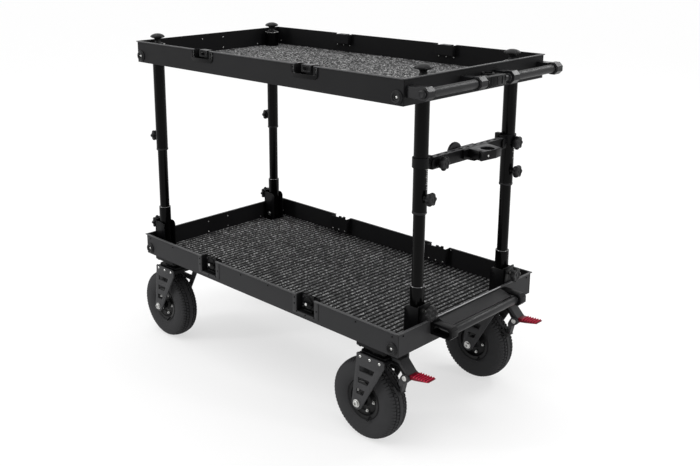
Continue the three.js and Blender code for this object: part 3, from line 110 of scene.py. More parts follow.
def linear(hex_colour):
    channels = [int(hex_colour[i : i + 2], 16) / 255 for i in (1, 3, 5)]
    curve = [c / 12.92 if c <= 0.04045 else ((c + 0.055) / 1.055) ** 2.4 for c in channels]
    return (*curve, 1.0)


def add_node(tree, kind, settings=None, links=None):
    node = tree.nodes.new("ShaderNode" + kind)
    for key, value in (settings or {}).items():
        if isinstance(key, int) or key in node.inputs:
            node.inputs[key].default_value = value
        else:
            setattr(node, key, value)
    for socket, source in (links or {}).items():
        tree.links.new(source, node.inputs[socket])
    return node


def remapped(tree, value, span, onto):
    ends = {"From Min": span[0], "From Max": span[1], "To Min": onto[0], "To Max": onto[1]}
    return add_node(tree, "MapRange", ends, {"Value": value}).outputs["Result"]


def new_surface(name, **sockets):
    surface = finishes[name] = bpy.data.materials.new(name)
    surface.use_nodes = True
    shader = surface.node_tree.nodes["Principled BSDF"]
    for socket, value in sockets.items():
        shader.inputs[socket.replace("_", " ")].default_value = value
    return surface.node_tree, shader


def per_metre(feature_mm):
    return 1000 / feature_mm


def add_object(name, data):
    made = bpy.data.objects.new(name, data)
    bpy.context.collection.objects.link(made)
    return made


# %% [markdown]
# ## What every coated surface shares
#
# No real surface has one even colour. Each finish here starts from two close colours, mixed by a
# soft pattern of a real size, a roughness that wanders a little the same way, and a fine bump for
# its grain. What differs from finish to finish is handed in: the grain of powder coat is an
# orange peel of about a millimetre, that of moulded plastic a spark texture half as wide.

# %% A finish with colour, roughness and grain


def finish(name, dark, light, cloud_mm, grain_mm, grain_depth_mm, rough, spread, **sockets):
    tree, shader = new_surface(name, **sockets)
    place = add_node(tree, "TexCoord").outputs["Object"]
    cloud_size = {"Scale": per_metre(cloud_mm), "Detail": 3.0, "Roughness": 0.6}
    cloud = add_node(tree, "TexNoise", cloud_size, {"Vector": place}).outputs["Fac"]
    shades = {"data_type": "RGBA", COLOUR_A: linear(dark), COLOUR_B: linear(light)}
    colour = add_node(tree, "Mix", shades, {"Factor": cloud})
    rubbed = remapped(tree, cloud, (0.3, 0.7), (rough - spread, rough + spread))
    grain_size = {"Scale": per_metre(grain_mm), "Detail": 2.0}
    grain = add_node(tree, "TexNoise", grain_size, {"Vector": place})
    depth = {"Strength": 1.0, "Distance": grain_depth_mm * MM}
    bump = add_node(tree, "Bump", depth, {"Height": grain.outputs["Fac"]})
    tree.links.new(colour.outputs["Result"], shader.inputs["Base Color"])
    tree.links.new(rubbed, shader.inputs["Roughness"])
    tree.links.new(bump.outputs["Normal"], shader.inputs["Normal"])


# %% [markdown]
# ## The finishes of this cart
#
# The trays are powder-coated sheet: satin, with a faint orange peel. The upper tray, the lower
# tray and the insides get darker or lighter tones of that coat as painted light and shade, and
# the rolled rims a lighter tone as a painted highlight. The legs are black anodised aluminium,
# smoother and darker, with a narrow highlight. Fork plates and brackets carry a thinner, slightly
# rougher coat. Knobs are glass-filled nylon, the grips foam rubber, the pedals red nylon, whose
# ribs are painted a lighter red as a highlight. The bright spots are small: the zinc-plated
# screws, nuts and axle bolts, the nickel rings of the leg sockets, and, as painted light, the
# light grey tops of the cross bar and its holder and the fold of the end shelf.

# %% Coats, metals, plastics and rubbers
SATIN = {"Specular_IOR_Level": 0.16}  # black pigment at the surface dulls the coat's reflection
DULL = {"Specular_IOR_Level": 0.08}
# Painted light and shade: the upper tray, the lower tray and the insides are darker or lighter
# tones of one powder coat.
finish("painted_light_and_shade_coat_upper", "#151516", "#1a1a1b", 90, 1.4, 0.03, 0.5, 0.06, **DULL)
finish("painted_light_and_shade_coat_lower", "#2a2a2b", "#303031", 90, 1.4, 0.03, 0.5, 0.06, **DULL)
finish("painted_light_and_shade_coat_inside", "#0f0f10", "#151516", 90, 1.4, 0.03, 0.6, 0.06, **DULL)
# Painted highlight: the rims' lighter grey stands for the light on their tops.
finish("rim_painted_highlight_coat", "#3a3a3b", "#4a4a4b", 40, 1.0, 0.02, 0.35, 0.08, **SATIN)
finish("shelf_coat", "#1c1c1d", "#232324", 90, 1.2, 0.02, 0.34, 0.06, **SATIN)
# Painted highlight: the light grey of the end shelf's fold.
finish("fold_painted_highlight_coat", "#8a8a8b", "#a8a8aa", 30, 0.8, 0.01, 0.3, 0.06, **SATIN)
finish("latch_plate_coat", "#262627", "#303031", 30, 1.0, 0.03, 0.4, 0.08, **SATIN)
finish("polished_black_coat", "#060607", "#0a0a0b", 30, 0.8, 0.01, 0.26, 0.05, **DULL)
finish("anodised_tube", "#020202", "#040404", 60, 0.5, 0.004, 0.2, 0.04, **DULL)
finish("fork_plate_coat", "#343435", "#3e3e3f", 40, 0.9, 0.04, 0.5, 0.08, **DULL)
finish("black_bracket_coat", "#070708", "#0c0c0d", 40, 0.9, 0.03, 0.34, 0.08, **DULL)
# Painted light: the lighter grey of the top faces of the cross bar and its holder.
finish("top_face_painted_light_coat", "#4a4a4b", "#666668", 14, 0.7, 0.02, 0.4, 0.08, **SATIN)
finish("collar_coat", "#121213", "#18181a", 40, 0.9, 0.03, 0.3, 0.06, **SATIN)
finish("glass_filled_nylon", "#101011", "#181819", 20, 0.6, 0.04, 0.4, 0.08, **SATIN)
finish("foam_rubber_grip", "#161617", "#1e1e1f", 30, 0.9, 0.04, 0.42, 0.06, **SATIN)
finish("bumper_rubber", "#101011", "#181819", 20, 0.8, 0.03, 0.42, 0.08, **SATIN)
finish("tyre_rubber", "#2b2b2c", "#363637", 25, 0.8, 0.05, 0.7, 0.08, **DULL)
finish("wheel_rim_nylon", "#070708", "#0e0e0f", 30, 0.8, 0.03, 0.36, 0.08, **SATIN)
finish("red_nylon_pedal", "#5c0917", "#6e0e20", 20, 0.7, 0.03, 0.4, 0.06, **SATIN)
# Painted highlight: the ribs are the pedal's red nylon in a lighter red.
finish("painted_highlight_red_ribs", "#a81c36", "#c02c48", 20, 0.7, 0.03, 0.4, 0.06, **SATIN)
finish("zinc_plated_steel", "#b4b4b2", "#cececc", 8, 0.4, 0.01, 0.3, 0.08, Metallic=1.0)
finish("dark_nickel", "#5c5c5c", "#747474", 8, 0.4, 0.01, 0.25, 0.06, Metallic=1.0)
finish("white_scale_paint", "#a4a4a4", "#c4c4c4", 6, 0.6, 0.01, 0.6, 0.05)
print(len(finishes), "finishes so far")

# %% [markdown]
# ## Shapes
#
# Three ways of making metal parts cover this cart. Bar stock and sheet with straight sides is an
# outline pushed along an axis. Tubes, wheels and screw heads are turned: a profile of radius and
# height is swept round an axis, and it faces either way along it. Moulded knobs are lofted
# through rings of points. Each function draws into a mesh that is handed to it, so that several
# shapes can make one piece; `built` starts the mesh for one shape.

# %% Outlines pushed along an axis, turned and lofted bodies
UP = {
    "x": Matrix(((0, 0, 1, 0), (1, 0, 0, 0), (0, 1, 0, 0), (0, 0, 0, 1))),
    "y": Matrix(((1, 0, 0, 0), (0, 0, 1, 0), (0, 1, 0, 0), (0, 0, 0, 1))),
    "z": Matrix.Identity(4),
}
TUBE_STEPS = 48
SMALLEST_RADIUS = 0.02


def loft(bm, rings, closed=False):
    rows = [[bm.verts.new(point) for point in ring] for ring in rings]
    pairs = list(zip(rows, rows[1:])) + ([(rows[-1], rows[0])] if closed else [])
    for low, high in pairs:
        for i in range(len(low)):
            j = (i + 1) % len(low)
            bm.faces.new((low[i], low[j], high[j], high[i]))
    if not closed:
        bm.faces.new(rows[0][::-1])
        bm.faces.new(rows[-1])


def prism(bm, axis, outline, low, high):
    turn = UP[axis]
    loft(bm, [[turn @ Vector((u, v, w)) for u, v in outline] for w in sorted((low, high))])


def block(bm, xs, ys, zs):
    (x0, x1), (y0, y1) = sorted(xs), sorted(ys)
    prism(bm, "z", [(x0, y0), (x1, y0), (x1, y1), (x0, y1)], *zs)


def turned(bm, axis, centre, profile, steps=40, closed=False, facing=1):
    angles = [2 * math.pi * i / steps for i in range(steps)]
    turn = Matrix.Translation(centre) @ UP[axis]
    rings = []
    for radius, height in profile:
        r = max(radius, SMALLEST_RADIUS)
        ring = [(r * math.cos(a), r * math.sin(a), facing * height) for a in angles]
        rings.append([turn @ Vector(point) for point in ring])
    loft(bm, rings, closed)


def rod(bm, axis, centre, radius, low, high, steps=32):
    turned(bm, axis, centre, [(radius, low), (radius, high)], steps)


def built(shape, *sizes, **options):
    bm = bmesh.new()
    shape(bm, *sizes, **options)
    return bm


# %% Outlines: moved or mirrored, arcs, rounded rectangles, softened corners


def at(u, v, outline, flip=1):
    return [(u + flip * du, v + dv) for du, dv in outline]


def arc(u, v, radius, start, end, steps=8):
    sweep = [math.radians(start + (end - start) * i / steps) for i in range(steps + 1)]
    return [(u + radius * math.cos(a), v + radius * math.sin(a)) for a in sweep]


def rounded(u0, u1, v0, v1, r):
    corners = [(u1 - r, v1 - r), (u0 + r, v1 - r), (u0 + r, v0 + r), (u1 - r, v0 + r)]
    return [p for i, (u, v) in enumerate(corners) for p in arc(u, v, r, 90 * i, 90 * i + 90, 4)]


def softened(corners, radius):
    made = []
    for i, (u, v) in enumerate(corners):
        ends = []
        for p, q in (corners[i - 1], corners[(i + 1) % len(corners)]):
            share = radius / math.hypot(p - u, q - v)
            ends.append((u + (p - u) * share, v + (q - v) * share))
        (a, b), (c, d) = ends
        made += [(a, b), ((a + 2 * u + c) / 4, (b + 2 * v + d) / 4), (c, d)]
    return made


# %% [markdown]
# ## Plates with holes
#
# A plate is a filled 2-D curve with a thickness: Blender cuts its holes and rounds its edges by
# itself. Forks, brackets and shelf arms are two equal plates on either side of a middle.

# %% Plates with holes
WELD_MM = 0.002


def plate(bm, axis, outline, low, high, edge=0.5, holes=()):
    low, high = sorted((low, high))
    sheet = bpy.data.curves.new("plate_outline", "CURVE")
    sheet.dimensions = "2D"
    sheet.fill_mode = "BOTH"
    sheet.extrude = (high - low) / 2 - edge
    sheet.bevel_depth = edge
    sheet.bevel_resolution = 1
    sheet.offset = -edge
    for loop in [outline, *holes]:
        spline = sheet.splines.new("POLY")
        spline.points.add(len(loop) - 1)
        for point, (u, v) in zip(spline.points, loop):
            point.co = (u, v, 0, 1)
        spline.use_cyclic_u = True
    holder = add_object("plate_outline", sheet)
    bpy.context.view_layer.update()
    graph = bpy.context.evaluated_depsgraph_get()
    mesh = bpy.data.meshes.new_from_object(holder.evaluated_get(graph))
    bpy.data.objects.remove(holder)
    bpy.data.curves.remove(sheet)
    made = bmesh.new()
    made.from_mesh(mesh)
    bmesh.ops.remove_doubles(made, verts=made.verts, dist=WELD_MM)
    made.transform(UP[axis] @ Matrix.Translation((0, 0, (low + high) / 2)))
    made.to_mesh(mesh)
    made.free()
    bm.from_mesh(mesh)
    bpy.data.meshes.remove(mesh)


def twin_plates(bm, axis, outline, middle, inner, outer, edge, holes=()):
    for side in SIDES:
        plate(bm, axis, outline, middle + side * inner, middle + side * outer, edge, holes)


# %% [markdown]
# ## From a shape to a piece
#
# Light finds an edge before it finds a face: a sharp edge on black sheet looks like paper, and a
# radius of half a millimetre looks like metal. So a piece gets a small bevel on its sharp edges
# where one is asked for, and every piece gets smooth shading everywhere else, its finish, and the
# body that it rides on.

# %% Finish a piece
BEVEL_FROM_DEGREES = 50


def piece(name, bm, surface, body, nodes=(), edge=0, sharp=35, segments=2):
    bmesh.ops.recalc_face_normals(bm, faces=bm.faces)
    bm.transform(Matrix.Scale(MM, 4) @ Matrix.Translation((TRAY_X, 0, 0)))
    mesh = bpy.data.meshes.new(name)
    bm.to_mesh(mesh)
    bm.free()
    mesh.materials.append(finishes[surface])
    mesh.shade_smooth()
    mesh.set_sharp_from_angle(angle=math.radians(sharp))
    made = add_object(name, mesh)
    if edge:
        bevel = made.modifiers.new("edges", "BEVEL")
        bevel.width = edge * MM
        bevel.segments = segments
        bevel.limit_method = "ANGLE"
        bevel.angle_limit = math.radians(BEVEL_FROM_DEGREES)
        bevel.harden_normals = True
    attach(made, body)
    if nodes:
        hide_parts(*nodes)
    return made


# %% [markdown]
# ## Small fasteners
#
# A button-head screw is a low dome with a hexagon socket; a rivet is the same dome without one.
# A nut is turned with six steps and has a chamfered face.

# %% Screws, rivets and hexagon nuts
DOME = [(1, 0), (0.94, 0.28), (0.7, 0.5)]  # shares of the head's radius
SOCKET = [(0.45, 0.56), (0.42, 0.15), (0, 0.1)]
RIVET_TOP = [(0.3, 0.6), (0, 0.62)]
NUT = [(0.98, 0), (1, 0.15), (1, 0.8), (0.86, 1)]


def screw(bm, axis, centre, facing, radius=3.0, top=SOCKET):
    profile = [(radius * r, radius * h) for r, h in DOME + top]
    turned(bm, axis, centre, profile, 14, facing=facing)


def nut(bm, axis, centre, radius, length, facing):
    turned(bm, axis, centre, [(radius * r, length * h) for r, h in NUT], 6, facing=facing)


# %% [markdown]
# ## The trays
#
# Each tray is a folded sheet: a floor, four walls and a rim that is rolled outwards. The long
# walls have a notch at each latch, so their outline is drawn with the notches and pushed through
# the sheet's thickness. The sheet has an outer and an inner skin, each of separate closed shells
# that meet at a visible seam. The upper tray's floor has a hole for each leg. The inside is
# darker than the outside because little light gets there, and its darker coat is painted shade.
# The two trays' outer coats also differ in tone as painted light and shade.

# %% Skins with notched walls
LATCH_X = 213
DISH_HALF = 35
DECK_DISH, STRIKE_DISH = 50, 30  # depths of the latch recesses in the lower and the upper tray
SEAM = 1.6
END_SEAM = 0.3
LEG_HOLE_R = 19.1


def notched_wall(top, depth):
    low, end = top - TRAY_HEIGHT, HALF_LENGTH
    notch = [(DISH_HALF, 0), (DISH_HALF, -depth), (-DISH_HALF, -depth), (-DISH_HALF, 0)]
    notches = at(LATCH_X, top, notch) + at(-LATCH_X, top, notch)
    return [(-end, low), (end, low), (end, top)] + notches + [(-end, top)]


# Distances in from the tray's outside: skin for the long walls, end and reach for the faces and
# the ends of the end walls, rim for the floor.
def tray_skin(bm, top, depth, skin, end, reach, rim, low, holes):
    middle = WALL / 2
    for side in SIDES:
        wall = notched_wall(top, depth)
        prism(bm, "y", wall, side * (HALF_WIDTH - skin), side * (HALF_WIDTH - middle))
        xs = (side * (HALF_LENGTH - end), side * (HALF_LENGTH - middle))
        block(bm, xs, (reach - HALF_WIDTH, HALF_WIDTH - reach), (top - TRAY_HEIGHT, top))
    half_x, half_y = HALF_LENGTH - rim, HALF_WIDTH - rim
    floor = [(-half_x, -half_y), (half_x, -half_y), (half_x, half_y), (-half_x, half_y)]
    plate(bm, "z", floor, low, low + middle, 0, holes)


# %% Rolled rims, broken at the latches
RIM_SHEET = 3
RIM_LIFT = 0.01  # keeps the overlapping strips of the rim out of one plane


def rolled_rim(bm, top, reach):
    end, notch = HALF_LENGTH + reach, LATCH_X + DISH_HALF
    gap = LATCH_X - DISH_HALF
    for side in SIDES:
        ys = (side * (HALF_WIDTH - WALL), side * (HALF_WIDTH + reach))
        for xs in ((-end, -notch), (-gap, gap), (notch, end)):
            block(bm, xs, ys, (top - RIM_SHEET, top + 2 * RIM_LIFT))
        xs = (side * (HALF_LENGTH - WALL), side * end)
        ys = (-HALF_WIDTH - reach, HALF_WIDTH + reach)
        block(bm, xs, ys, (top - RIM_SHEET, top + RIM_LIFT))


leg_holes = [arc(x, y, LEG_HOLE_R, 0, 360, TUBE_STEPS)[:-1] for _, x, y, _ in LEGS]
for name, top, depth, body, holes, reach, rim_edge in (
    ("upper", UPPER_TOP, STRIKE_DISH, "upper_shelf", leg_holes, 3, 1.1),
    ("lower", LOWER_TOP, DECK_DISH, "cart_base", (), RIM_REACH, 1.2),
):
    base = top - TRAY_HEIGHT
    outside = built(tray_skin, top, depth, 0, END_SEAM, WALL / 2 + SEAM, SEAM, base, holes)
    inside = built(tray_skin, top, depth, WALL, WALL, WALL, WALL, base + WALL / 2, holes)
    piece(f"{name}_tray_outside", outside, f"painted_light_and_shade_coat_{name}", body,
          [f"{name}_tray"], edge=1.0)
    piece(f"{name}_tray_inside", inside, "painted_light_and_shade_coat_inside", body, edge=0.4)
    # The rims' lighter coat is a painted highlight along their tops.
    piece(f"{name}_tray_rim", built(rolled_rim, top, reach), "rim_painted_highlight_coat", body,
          edge=rim_edge, segments=3)

# %% [markdown]
# ## Bumpers
#
# Eight rubber discs, one near each corner of each tray's long sides, keep the cart off walls and
# keep stacked trays apart. Each is a turned disc, seven millimetres proud, with a rounded rim, a
# shallow step and a screw sunk at its centre.

# %% Rubber bumpers and their screws
BUMPER_X = HALF_LENGTH - 19
BUMPER_RISE = 20.5
BUMPER_PROFILE = [
    (17.3, 0.2), (17.5, 1.2), (17.2, 2.6), (15.6, 3.4), (14.4, 4.4), (14, 6), (13, BUMPER_LENGTH),
    (11, BUMPER_LENGTH), (9.6, 6.2), (9, 4.6), (5.8, 4.4), (5.4, 2), (0, 2),
]

for tray, base, body in TRAYS:
    rubber, metal = bmesh.new(), bmesh.new()
    for side, end in CORNERS:
        x, z = end * BUMPER_X, base + BUMPER_RISE
        turned(rubber, "y", (x, side * HALF_WIDTH, z), BUMPER_PROFILE, facing=side)
        screw(metal, "y", (x, side * (HALF_WIDTH + 2), z), side, 4.2)
    piece(f"{tray}_bumpers", rubber, "bumper_rubber", body)
    piece(f"{tray}_bumper_screws", metal, "zinc_plated_steel", body)

# %% [markdown]
# ## Latches
#
# For transport the upper tray is set on the lower one, and four butterfly latches in the lower
# tray catch the strikes of the upper one. Each latch sits in a pressed dish behind a flat plate
# with small screws, under a hook. The dish is an open box, the plate a curve that runs round
# the recess, and the butterfly handle turns on a bright spindle, so that it rides on its own
# body.

# %% Dishes and plates of both trays
DISH_DEPTH = 20
DISH_SHEET = 2
LATCH_DROP = 22
PLATE_HALF = 50
PLATE_SCREWS = {
    "lower": [(-43, -12), (-43, -30), (43, -30), (-34, -51), (34, -51), (0, -54)],
    "upper": [(-42.5, -9), (-42.5, -22), (42.5, -22), (42.5, -9)],
}


def dish(bm, x, side, top, depth):
    depths = (WALL, DISH_DEPTH, DISH_DEPTH + DISH_SHEET)
    front, back, skin = (side * (HALF_WIDTH - d) for d in depths)
    low, half = top - depth, DISH_HALF
    block(bm, (x - half, x + half), (back, skin), (low, top - 1))
    bottom = (x - half - DISH_SHEET, x + half + DISH_SHEET)
    block(bm, bottom, (front, skin), (low - DISH_SHEET, low))
    for edge in SIDES:
        wall = x + edge * half
        block(bm, (wall, wall + edge * DISH_SHEET), (front, skin), (low, top - 1))


def latch_frame(bm, x, side, top, sill, low, corner, proud):
    half, inner = PLATE_HALF, DISH_HALF
    outline = (
        [(-half, -4)]
        + arc(corner - half, low + corner, corner, 180, 270, 5)
        + arc(half - corner, low + corner, corner, 270, 360, 5)
        + [(half, -4), (inner, -4)]
        + arc(inner - 5, sill + 5, 5, 0, -90, 4)
        + arc(5 - inner, sill + 5, 5, -90, -180, 4)
        + [(-inner, -4)]
    )
    plate(bm, "y", at(x, top, outline), side * HALF_WIDTH, side * (HALF_WIDTH + proud), 0.4)


for name, top, body, depth, sill, low, corner, proud, coat in (
    ("lower", LOWER_TOP, "cart_base", DECK_DISH, -50, -57, 4, 1.5, "latch_plate_coat"),
    ("upper", UPPER_TOP, "upper_shelf", STRIKE_DISH, -25, -36, 15, 2.6, "polished_black_coat"),
):
    dishes, plates, screws = bmesh.new(), bmesh.new(), bmesh.new()
    for side, end in CORNERS:
        x = end * LATCH_X
        dish(dishes, x, side, top, depth)
        latch_frame(plates, x, side, top, sill, low, corner, proud)
        for dx, dz in PLATE_SCREWS[name]:
            screw(screws, "y", (x + dx, side * (HALF_WIDTH + proud), top + dz), side, 2.4)
    # The dishes take the darker inside coat: painted shade in the recesses.
    piece(f"{name}_latch_dishes", dishes, "painted_light_and_shade_coat_inside", body, edge=0.5)
    piece(f"{name}_latch_plates", plates, coat, body)
    piece(f"{name}_latch_screws", screws, "black_bracket_coat", body)

# %% Strikes of the upper tray
strikes, strike_rivets = bmesh.new(), bmesh.new()
for side, end in CORNERS:
    latch, z = end * LATCH_X, UPPER_TOP
    x = latch + 6
    front, back = side * (HALF_WIDTH - 1), side * (HALF_WIDTH - DISH_DEPTH)
    low_corners = arc(15, -17, 3, 270, 360, 4), arc(-15, -17, 3, 180, 270, 4)
    outline = at(x, z, low_corners[0] + [(18, -0.5), (-18, -0.5)] + low_corners[1])
    window = rounded(x - 9, x + 9, z - 15, z - 7, 2)
    plate(strikes, "y", outline, front, front + side * 1.8, 0.5, [window])
    block(strikes, (x - 18, x + 18), (front, back), (z - 2.8, z - 0.2))
    block(strikes, (latch - 33, latch - 17), (back, back + side * 2), (z - 28, z - 6))
    for step in SIDES:
        seat = (latch - 25, side * (HALF_WIDTH - 18), z - 17 + 6 * step)
        screw(strike_rivets, "y", seat, side, 2.6, RIVET_TOP)
piece("upper_strikes", strikes, "polished_black_coat", "upper_shelf", edge=0.6)
piece("upper_strike_rivets", strike_rivets, "zinc_plated_steel", "upper_shelf")

# %% Hooks and butterfly handles
BASE_DEPTH = 8
HOOK = [(-6, -18), (22, -18), (22, 3.2), (14, 3.6), (12, -1), (4, -1), (2, 2), (-6, 1.6)]
HANDLE_DISC = [(16.4, 0), (17, 0.8), (17, 2.4), (15.8, 3), (12, 3), (11.4, 2.2), (0, 2.2)]
HANDLE_WING = [(-17, 2.2), (-15, 7.2), (-9, 9.8), (9, 9.8), (15, 7.2), (17, 2.2)]
SPINDLE_HEAD = [(4.2, 0), (4.2, 1.6), (3.4, 2.4), (0, 2.6)]

bases, base_screws = bmesh.new(), bmesh.new()
for side, end in CORNERS:
    x, z = end * LATCH_X, LOWER_TOP - LATCH_DROP
    back = side * (HALF_WIDTH - DISH_DEPTH)
    face = back + side * BASE_DEPTH
    lip = face + side * 0.4
    round_base = rounded(x - 26, x + 26, z - 19, z + 19, 6)
    plate(bases, "y", round_base, back, face, 1.2, [arc(x, z, 6, 0, 345, 20)])
    block(bases, (x - 16, x + 16), (back, face + side * 3), (z - 25, z - 20))
    prism(bases, "y", at(x, LOWER_TOP, HOOK), face - side * 4, face + side)
    for dx in (-21, 21):
        for dz in (-14, 14):
            screw(base_screws, "y", (x + dx, face, z + dz), side, 2.4)
    name = f"deck_latch_{'front' if side < 0 else 'back'}_{'left' if end < 0 else 'right'}"
    handle = built(turned, "y", (x, lip, z), HANDLE_DISC, 36, facing=side)
    prism(handle, "z", [(x + u, lip + side * v) for u, v in HANDLE_WING], z - 2.6, z + 2.6)
    piece(name, handle, "black_bracket_coat", name, [name], edge=0.8)
    pin = built(turned, "y", (x, lip + side * 9.2, z), SPINDLE_HEAD, 20, facing=side)
    piece(f"{name}_spindle", pin, "zinc_plated_steel", name)
piece("deck_latch_bases", bases, "black_bracket_coat", "cart_base")
piece("deck_latch_base_screws", base_screws, "latch_plate_coat", "cart_base")

# %% [markdown]
# ## Screws and rivets of the sheet
#
# The folded corners are held by small screws, and the walls carry rows of rivets inside, also
# under the notches. In the photo they are single bright or dark dots, yet a sheet without them
# reads as a toy, so each is a real domed head in its place.

# %% Corner screws, wall screws and rivets
SCREW_SPOTS = [(-62, 345), (58, 346), (399, 344), (523, 343.5), (-399, 344), (-523, 343.5)]
END_RIVETS = [(-44, 50), (44, 50), (44, 14), (-44, 14), (-200, 14), (200, 14)]
NOTCH_RIVETS = {  # along the cart, inwards from the wall, and up from the tray's base
    "upper": [(LATCH_X + dx, 0, 28.5) for dx in (-28, 0, 28)],
    "lower": [(LATCH_X + dx, DISH_DEPTH - 1, 22) for dx in (-28, 0, 28)] + [(LATCH_X + 44, 0, 60)],
}

wall_screws = bmesh.new()
for x, z in SCREW_SPOTS:
    for side in SIDES:
        screw(wall_screws, "y", (x, side * HALF_WIDTH, z), side, 2.6)
for y in (-279, 279):
    for end in SIDES:
        screw(wall_screws, "x", (end * HALF_LENGTH, y, 344.6), end, 2.6)
piece("lower_tray_screws", wall_screws, "black_bracket_coat", "cart_base")

for name, base, body in TRAYS:
    rivets = bmesh.new()
    for end in SIDES:
        for y, z in END_RIVETS:
            seat = (end * (HALF_LENGTH - WALL), y, base + z)
            screw(rivets, "x", seat, -end, 2.2, RIVET_TOP)
        for side in SIDES:
            for x, inset, z in NOTCH_RIVETS[name] + [(521, 0, 19)]:
                seat = (end * x, side * (HALF_WIDTH - WALL - inset), base + z)
                screw(rivets, "y", seat, -side, 2.2, RIVET_TOP)
    piece(f"{name}_tray_rivets", rivets, "zinc_plated_steel", body)

# %% [markdown]
# ## Telescopic legs
#
# Each leg is two tubes. The inner one stands in a thicker socket with a ring at its top. The
# outer one slides on it and ends in a plastic bush. A boss carries the height knob, and the
# ticks of a printed scale show how far the leg is out. Tubes are turned with 48 sides, so that
# the long narrow highlight of black anodising has no steps.

# %% Leg tubes
OUTER_R, INNER_R, SOCKET_R = 18.5, 15.5, 19
OUTER_LOW, OUTER_HIGH = (corner[2] for corner in solid_box("leg_outer_front_left"))
INNER_LOW, INNER_HIGH = (corner[2] for corner in solid_box("leg_inner_front_left"))
SOCKET_TOP = 448
KNOB_Z = OUTER_LOW + 43
LEG_PARTS = [  # part, finish, body, whether it stands for a solid, and its profile
    ("inner", "anodised_tube", "cart_base", True, [
        (13, INNER_LOW), (SOCKET_R - 0.6, INNER_LOW), (SOCKET_R, INNER_LOW + 1),
        (SOCKET_R, SOCKET_TOP - 1.4), (INNER_R, SOCKET_TOP - 1.4), (INNER_R, INNER_HIGH - 1),
        (INNER_R - 0.8, INNER_HIGH), (13, INNER_HIGH)]),
    ("outer", "anodised_tube", "upper_legs", True, [
        (16, OUTER_LOW + 4), (OUTER_R, OUTER_LOW + 4), (OUTER_R, OUTER_HIGH - 1),
        (OUTER_R - 0.8, OUTER_HIGH), (8.4, OUTER_HIGH), (8.4, OUTER_HIGH - 24),
        (16, OUTER_HIGH - 24)]),
    ("bush", "glass_filled_nylon", "upper_legs", False, [
        (16, OUTER_LOW), (18.4, OUTER_LOW), (19.1, OUTER_LOW + 1), (19.1, OUTER_LOW + 5),
        (18.6, OUTER_LOW + 6), (16, OUTER_LOW + 6)]),
    ("rings", "dark_nickel", "cart_base", False, [
        (INNER_R + 0.1, SOCKET_TOP - 1.4), (SOCKET_R - 0.6, SOCKET_TOP - 1.4),
        (SOCKET_R - 1, SOCKET_TOP - 0.3), (INNER_R + 1.4, SOCKET_TOP),
        (INNER_R + 0.1, SOCKET_TOP)]),
]
KNOB_BOSS = [(9.5, 17), (9.4, 19), (8.6, 22), (8.2, 24.5), (5.4, 24.5), (5.4, 17)]

# %% Scales with small screws
SCALE_LOW, SCALE_PITCH, SCALE_MARKS = 78, 4.6, 9
SCALE_LEAN, SCREW_LEAN = math.radians(16), 0.16
LONG_MARK, SHORT_MARK = 0.34, 0.2
MARK_SKIN = [(-0.3, 0), (-0.3, 1.5), (0.12, 1.5), (0.12, 0)]  # from the tube's surface, and up


def leg_scale(bm, x, y, out):
    for i in range(SCALE_MARKS):
        z = OUTER_LOW + SCALE_LOW + i * SCALE_PITCH
        half = LONG_MARK if i % 4 == 0 else SHORT_MARK
        rings = []
        for step in range(5):
            a = SCALE_LEAN - half + 2 * half * step / 4
            skin = [(OUTER_R + dr, z + dz) for dr, dz in MARK_SKIN]
            rings.append([(x + out * r * math.cos(a), y + r * math.sin(a), h) for r, h in skin])
        loft(bm, rings)
    for rise, proud in ((3, 0.6), (66, 0), (71, 0)):
        reach = OUTER_R + proud
        dx, dy = reach * math.cos(SCREW_LEAN), reach * math.sin(SCREW_LEAN)
        seat = (x + out * dx, y + dy, OUTER_LOW + rise)
        screw(bm, "x", seat, out, 1.3, RIVET_TOP)


for name, x, y, out in LEGS:
    for part, surface, body, is_node, profile in LEG_PARTS:
        bm = built(turned, "z", (x, y, 0), profile, TUBE_STEPS, closed=True)
        if part == "outer":
            turned(bm, "x", (x, y, KNOB_Z), KNOB_BOSS, 28, closed=True, facing=out)
        nodes = [f"leg_{part}_{name}"] if is_node else []
        piece(f"leg_{part}_{name}", bm, surface, body, nodes)
    piece(f"leg_scale_{name}", built(leg_scale, x, y, out), "white_scale_paint", "upper_legs")

# %% [markdown]
# ## Sleeves in the upper tray
#
# The outer tubes go through the tray inside short sleeves. Each sleeve ends in a bright washer
# under the mushroom knob that clamps it.

# %% Sleeves and washers
SLEEVE_TOP = UPPER_TOP - 12
SLEEVE = [(19.2, UPPER_BASE + 1), (23, UPPER_BASE + 1), (23, SLEEVE_TOP - 2.5),
          (22.2, SLEEVE_TOP - 1.8), (19.2, SLEEVE_TOP - 1.8)]
WASHER = [(19.3, SLEEVE_TOP - 1.8), (23.2, SLEEVE_TOP - 1.8), (23.2, SLEEVE_TOP - 0.2),
          (22.8, SLEEVE_TOP), (19.3, SLEEVE_TOP)]
for name, profile, surface in (
    ("sleeves", SLEEVE, "anodised_tube"), ("washers", WASHER, "zinc_plated_steel")
):
    bm = bmesh.new()
    for _, x, y, _ in LEGS:
        turned(bm, "z", (x, y, 0), profile, TUBE_STEPS, closed=True)
    piece(f"upper_tray_{name}", bm, surface, "upper_shelf")

# %% [markdown]
# ## Knobs
#
# A star knob is a moulded handle with six to eight soft lobes, a neck towards its screw and a
# dished face. It is lofted: every ring has as many points, and a cosine makes the lobes. The
# mushroom knobs on top use the same function with shallow scallops and a domed cap.

